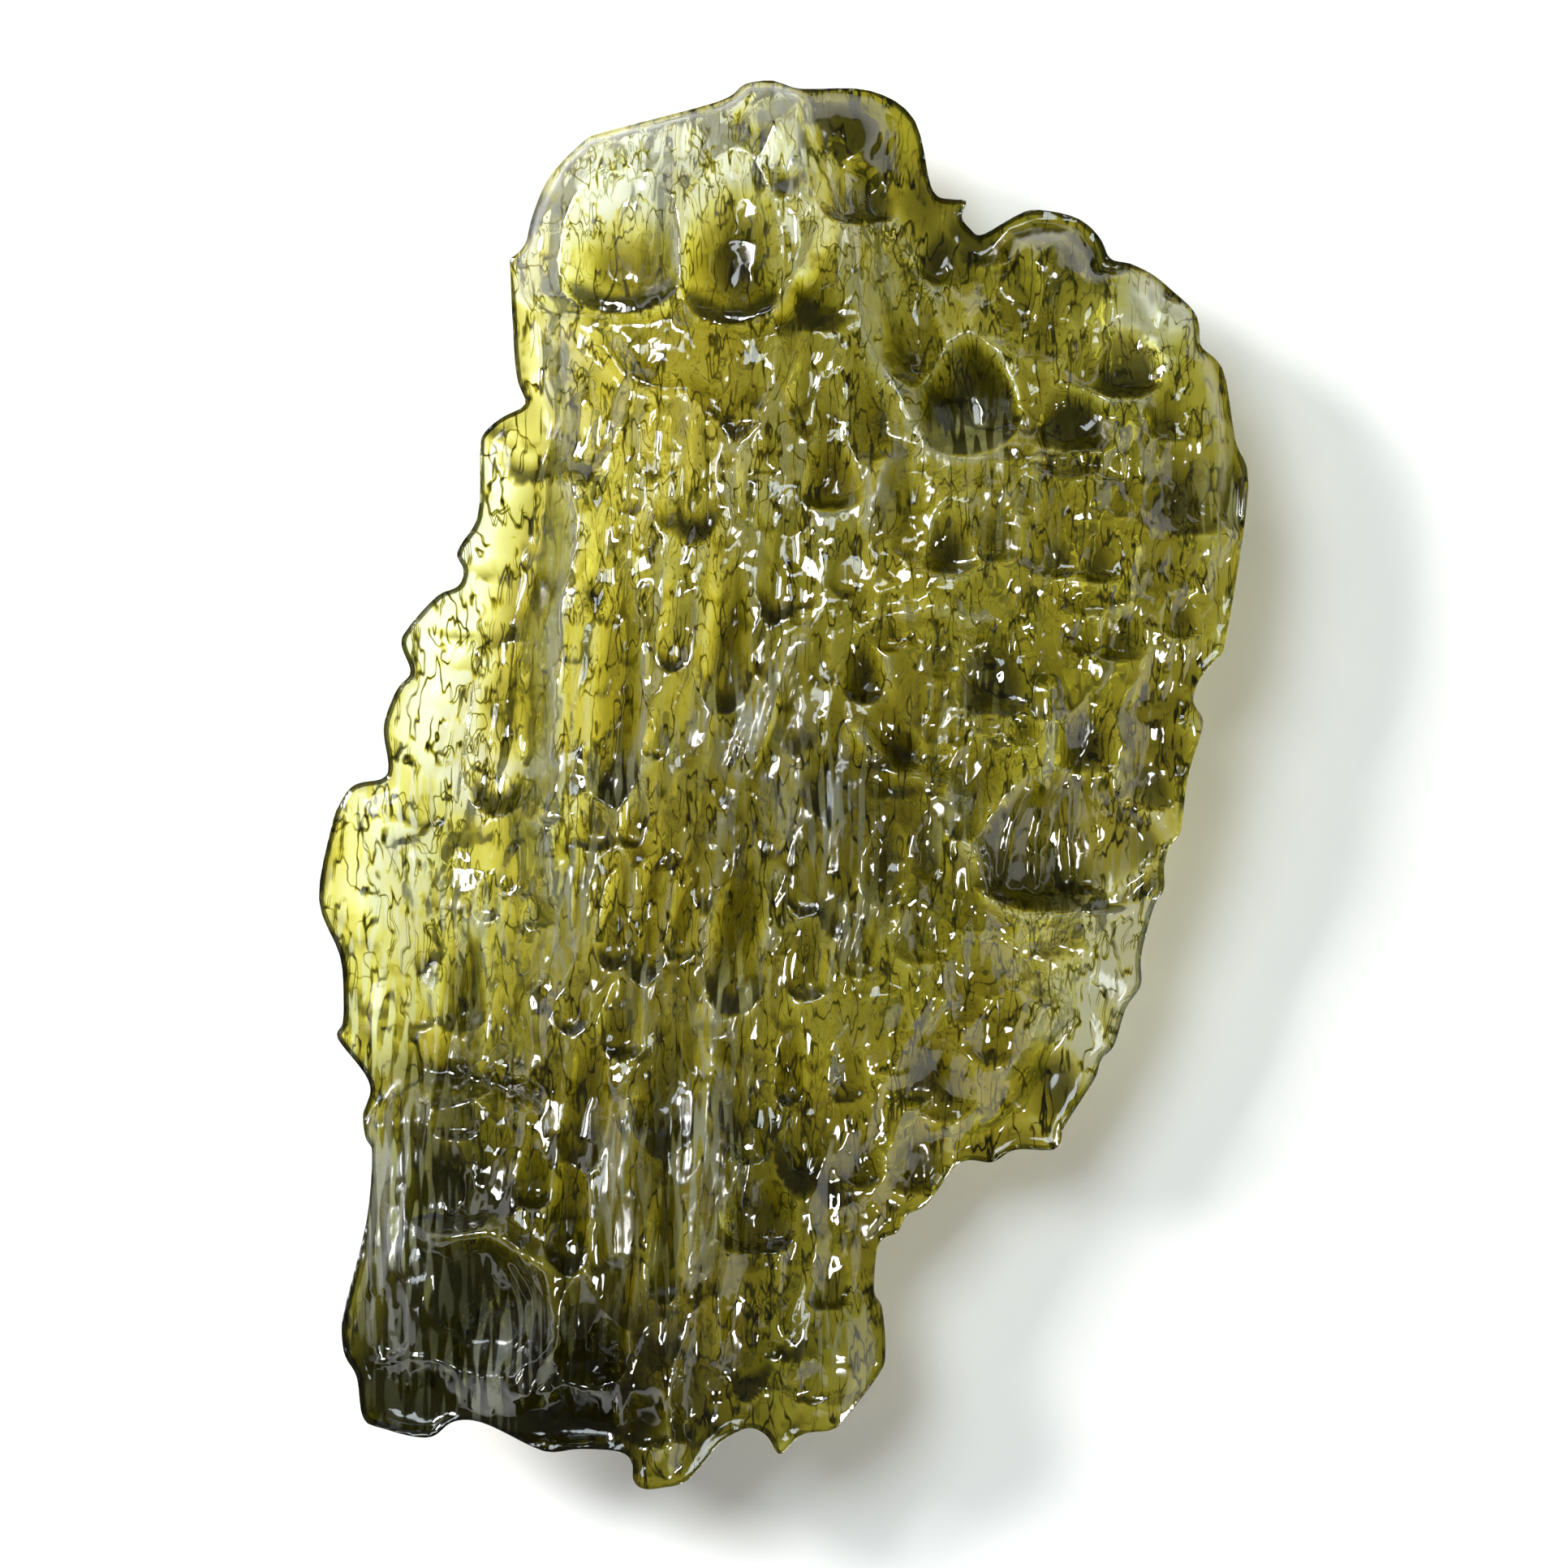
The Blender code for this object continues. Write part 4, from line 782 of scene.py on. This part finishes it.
def shade(stone, faces_up):
    """Stores at each point, from 0 to 1, how dark the glass is, with painted shade in the pits and painted
    highlights on the crests of the face, how far it is satin with a painted silvery sheen, and how golden
    it is.
    """
    places = points_of(stone.data)[:, :2]
    # On the face the glass's tone gets painted shade in the pits and painted highlights on the crests
    tone_and_painted_light = BODY_SHADE + zones_sum(places, TONE_AND_PAINTED_LIGHT_ZONES) + faces_up * painted_pit_shade_and_highlight(places)
    store(stone, "tone_and_painted_light", np.clip(tone_and_painted_light / DARKEST, 0, 1))
    store(stone, "silver", faces_up * zones_share(places, SATIN_AND_PAINTED_SHEEN_ZONES))
    hue = zones_sum(places, HUE_ZONES)
    for width, length, lean, seed in HUE_NOISE:
        hue += HUE_SWING * value_noise(places, width, length, lean, seed)
    store(stone, "golden", np.clip(0.5 + 0.5 * hue, 0, 1))


def points_of(mesh):
    values = np.empty(len(mesh.vertices) * 3, np.float32)
    mesh.vertices.foreach_get("co", values)
    return values.reshape(-1, 3).astype(float)


def move_points(mesh, points):
    mesh.vertices.foreach_set("co", points.astype(np.float32).ravel())
    mesh.update()


def evaluated_mesh(obj):
    graph = bpy.context.evaluated_depsgraph_get()
    return bpy.data.meshes.new_from_object(obj.evaluated_get(graph))


def blank_object(collection):
    """A flat blank with the stone's outline, turned from a filled curve into a closed mesh."""
    curve = bpy.data.curves.new("outline", "CURVE")
    curve.dimensions = "2D"
    curve.fill_mode = "BOTH"
    curve.extrude = BLANK_GLASS / 2
    line = closed_curve(OUTLINE, CURVE_STEPS)
    spline = curve.splines.new("POLY")
    spline.points.add(len(line) - 1)
    heights, weights = np.zeros(len(line)), np.ones(len(line))
    spline.points.foreach_set("co", np.column_stack([line, heights, weights]).ravel())
    spline.use_cyclic_u = True
    outline = bpy.data.objects.new("outline", curve)
    collection.objects.link(outline)
    mesh = evaluated_mesh(outline)
    shape = bmesh.new()
    shape.from_mesh(mesh)
    bmesh.ops.remove_doubles(shape, verts=shape.verts, dist=JOIN_WITHIN)
    shape.to_mesh(mesh)
    shape.free()
    blank = bpy.data.objects.new(NAME, mesh)
    blank.matrix_world = outline.matrix_world
    collection.objects.link(blank)
    bpy.data.objects.remove(outline)
    return blank


def remesh_blank(stone):
    """The blank on an even grid, fine enough to be sculpted."""
    remesh = stone.modifiers.new("even grid", "REMESH")
    remesh.mode = "VOXEL"
    remesh.voxel_size = GRID
    stone.data = evaluated_mesh(stone)
    stone.modifiers.clear()


def sculpt(stone):
    move_points(stone.data, sculpted(points_of(stone.data)))


def looks_up(mesh):
    """1 at the points of the face and 0 at those of the underside."""
    normals = np.empty(len(mesh.vertices) * 3, np.float32)
    mesh.vertex_normals.foreach_get("vector", normals)
    return (normals.reshape(-1, 3)[:, 2] > 0).astype(float)


def thin_out(stone):
    """Fewer triangles, kept where the surface bends most."""
    stone.data.calc_loop_triangles()
    decimate = stone.modifiers.new("fewer triangles", "DECIMATE")
    decimate.ratio = min(1.0, TRIANGLES / len(stone.data.loop_triangles))
    decimate.use_collapse_triangulate = True
    stone.data = evaluated_mesh(stone)
    stone.modifiers.clear()


def set_down(stone):
    """The flat spot made level, the stone centred over the origin, and millimetres made metres."""
    nearly_level = 0.004
    points = points_of(stone.data)
    points[points[:, 2] < nearly_level, 2] = 0
    points[:, :2] -= (points[:, :2].min(axis=0) + points[:, :2].max(axis=0)) / 2
    move_points(stone.data, points * MM)


class Skin:
    """Adds nodes to a material: what each one takes is a number, a vector or another node's output."""

    def __init__(self, tree):
        self.tree = tree

    def add(self, kind, takes, **settings):
        node = self.tree.nodes.new("ShaderNode" + kind)
        for name, value in settings.items():
            setattr(node, name, value)
        for key, value in takes.items():
            if isinstance(value, bpy.types.NodeSocket):
                self.tree.links.new(value, node.inputs[key])
            else:
                node.inputs[key].default_value = value
        return node

    def stored(self, name):
        return self.add("Attribute", {}, attribute_name=name).outputs["Fac"]

    def math(self, operation, first, second):
        return self.add("Math", {0: first, 1: second}, operation=operation).outputs[0]

    def ranged(self, value, low, high, at_low, at_high):
        takes = {"Value": value, "From Min": low, "From Max": high, "To Min": at_low, "To Max": at_high}
        return self.add("MapRange", takes, interpolation_type="SMOOTHSTEP").outputs["Result"]

    def noise(self, place, cells, detail):
        takes = {"Vector": place, "Scale": cells, "Detail": detail}
        return self.add("TexNoise", takes, noise_dimensions="2D").outputs

    def stretched(self, place, along):
        takes = {"Vector": place, "Rotation": (0, 0, math.radians(FLOW_LEAN)), "Scale": (1, along, 1)}
        return self.add("Mapping", takes).outputs["Vector"]


def crinkle_lines(skin, place, cells, along, half_width):
    """1 on thin wandering lines and 0 off them."""
    waves = skin.noise(skin.stretched(place, along), cells, CRINKLE_DETAIL)["Fac"]
    gap = skin.math("ABSOLUTE", skin.math("SUBTRACT", waves, 0.5), 0.0)
    return skin.ranged(gap, 0.0, half_width, 1.0, 0.0)


def crinkled_shade(skin, place, patches):
    """The stored shade with thin dark crinkle lines, which lie in patches and mostly on pale glass."""
    shade_here = skin.stored("tone_and_painted_light")
    lined = skin.ranged(patches, *LINED_RANGE, 0.0, 1.0)
    pale = skin.ranged(shade_here, *PALE_RANGE, 1.0, 0.0)
    for cells, along, half_width, darkens, in_dark in CRINKLES:
        line = skin.math("MULTIPLY", crinkle_lines(skin, place, cells, along, half_width), lined)
        line = skin.math("MULTIPLY", line, skin.ranged(pale, 0.0, 1.0, in_dark, 1.0))
        shade_here = skin.math("ADD", shade_here, skin.math("MULTIPLY", line, darkens))
    return shade_here


def glass_tint(skin, shade_here):
    """The tint that goes with each shade, turned greenish or golden by the stored hue."""
    tint = skin.add("ValToRGB", {"Fac": shade_here})
    stops = tint.color_ramp.elements
    while len(stops) < len(TINTS):
        stops.new(0.5)
    for stop, (at, colour) in zip(stops, TINTS):
        stop.position = at
        stop.color = (*colour, 1.0)
    hue = skin.add("Mix", {0: skin.stored("golden"), 6: GREENISH, 7: GOLDEN}, data_type="RGBA").outputs[2]
    takes = {0: 1.0, 6: tint.outputs["Color"], 7: hue}
    return skin.add("Mix", takes, data_type="RGBA", blend_type="MULTIPLY").outputs[2]


def glass():
    material = bpy.data.materials.new("moldavite_glass")
    material.use_nodes = True
    nodes, links = material.node_tree.nodes, material.node_tree.links
    shader = nodes["Principled BSDF"]
    shader.inputs["IOR"].default_value = GLASS_IOR
    shader.inputs["Transmission Weight"].default_value = CLEAR_SHARE
    absorb = nodes.new("ShaderNodeVolumeAbsorption")
    absorb.inputs["Color"].default_value = ABSORB_COLOUR
    absorb.inputs["Density"].default_value = ABSORB_DENSITY
    links.new(absorb.outputs["Volume"], nodes["Material Output"].inputs["Volume"])
    skin = Skin(material.node_tree)
    place = skin.add("TexCoord", {}).outputs["Object"]
    satin_and_sheen_here = skin.stored("silver")
    striae = skin.noise(skin.stretched(place, STRIA_STRETCH), STRIA_CELLS, 0.0)["Fac"]
    patches = skin.noise(place, PATCH_CELLS, PATCH_DETAIL)["Fac"]
    tinted = glass_tint(skin, crinkled_shade(skin, place, patches))
    # Painted sheen: silvery streaks mixed into the base colour in the satin zones
    painted_sheen_streaks = skin.math("MULTIPLY", satin_and_sheen_here, skin.ranged(striae, *PAINTED_SHEEN_RANGE, 0.0, 1.0))
    mix = skin.add("Mix", {0: painted_sheen_streaks, 6: tinted, 7: PAINTED_SHEEN_COLOUR}, data_type="RGBA")
    links.new(mix.outputs[2], shader.inputs["Base Color"])
    satin = skin.ranged(satin_and_sheen_here, 0.0, 1.0, *SATIN_ROUGHNESS)
    mottled = skin.ranged(patches, *MOTTLED_RANGE, MOTTLED_ROUGHNESS, 0.0)
    links.new(skin.math("ADD", satin, mottled), shader.inputs["Roughness"])
    relief = skin.math("MULTIPLY", striae, skin.ranged(satin_and_sheen_here, 0.0, 1.0, *STRIA_RELIEF))
    bump = skin.add("Bump", {"Strength": BUMP_STRENGTH, "Distance": SKIN_BUMP, "Height": relief})
    links.new(bump.outputs["Normal"], shader.inputs["Normal"])
    return material


def make_stone():
    collection = bpy.context.scene.collection
    stone = blank_object(collection)
    stone.name = "moldavite_stone"
    remesh_blank(stone)
    sculpt(stone)
    thin_out(stone)
    shade(stone, looks_up(stone.data))
    set_down(stone)
    stone.data.materials.clear()
    stone.data.materials.append(glass())
    stone.data.shade_smooth()
    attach(stone, "root")
    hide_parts(NAME)


def make_floor():
    bpy.ops.mesh.primitive_plane_add(size=FLOOR_SIZE, location=(0, 0, -FLOOR_GAP * MM))
    floor = bpy.context.object
    floor.name = "floor"
    material = bpy.data.materials.new("floor_paper")
    material.use_nodes = True
    shader = material.node_tree.nodes["Principled BSDF"]
    shader.inputs["Base Color"].default_value = FLOOR_COLOUR
    shader.inputs["Roughness"].default_value = FLOOR_ROUGHNESS
    shader.inputs["Specular IOR Level"].default_value = FLOOR_SHINE
    floor.data.materials.append(material)


def soft_light(name, place, size, power, colour):
    """A lamp that faces the stone. It lights and glints, but isn't itself seen through the glass."""
    light = bpy.data.lights.new(name, "AREA")
    light.shape = "RECTANGLE"
    light.size, light.size_y = size, size
    light.energy = power
    light.color = colour
    lamp = bpy.data.objects.new(name, light)
    lamp.location = place
    lamp.rotation_euler = (-Vector(place)).to_track_quat("-Z", "Y").to_euler()
    lamp.visible_transmission = False
    bpy.context.scene.collection.objects.link(lamp)


def make_lights():
    for lamp in LAMPS:
        soft_light(*lamp)
    world = bpy.context.scene.world or bpy.data.worlds.new("studio")
    bpy.context.scene.world = world
    world.use_nodes = True
    background = world.node_tree.nodes["Background"]
    background.inputs["Color"].default_value = WORLD_COLOUR
    background.inputs["Strength"].default_value = WORLD_STRENGTH


def make_camera():
    """Straight above the stone, with the photograph's frame at the height of the stone's edge."""
    width = PHOTO_PIXELS / PIXELS_PER_MM
    distance = width * LENS / SENSOR
    data = bpy.data.cameras.new("camera")
    data.lens = LENS
    data.sensor_width = SENSOR
    data.clip_start = NEAREST
    data.clip_end = FARTHEST
    camera = bpy.data.objects.new("camera", data)
    camera.location = (0, 0, (EDGE_HEIGHT + distance) * MM)
    bpy.context.scene.collection.objects.link(camera)
    bpy.context.scene.camera = camera


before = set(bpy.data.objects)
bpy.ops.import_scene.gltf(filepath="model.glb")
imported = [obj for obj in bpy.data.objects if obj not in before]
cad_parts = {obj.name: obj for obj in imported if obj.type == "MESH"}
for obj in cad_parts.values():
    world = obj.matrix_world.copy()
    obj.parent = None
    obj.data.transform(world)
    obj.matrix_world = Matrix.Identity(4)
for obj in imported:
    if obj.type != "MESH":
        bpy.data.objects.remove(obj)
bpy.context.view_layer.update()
bpy.context.scene.view_settings.view_transform = "Standard"
bpy.context.scene.cycles.max_bounces = MOST_BOUNCES
bpy.context.scene.cycles.transmission_bounces = MOST_BOUNCES
bpy.context.scene.cycles.diffuse_bounces = FLOOR_BOUNCES
make_camera()
make_stone()
make_floor()
make_lights()
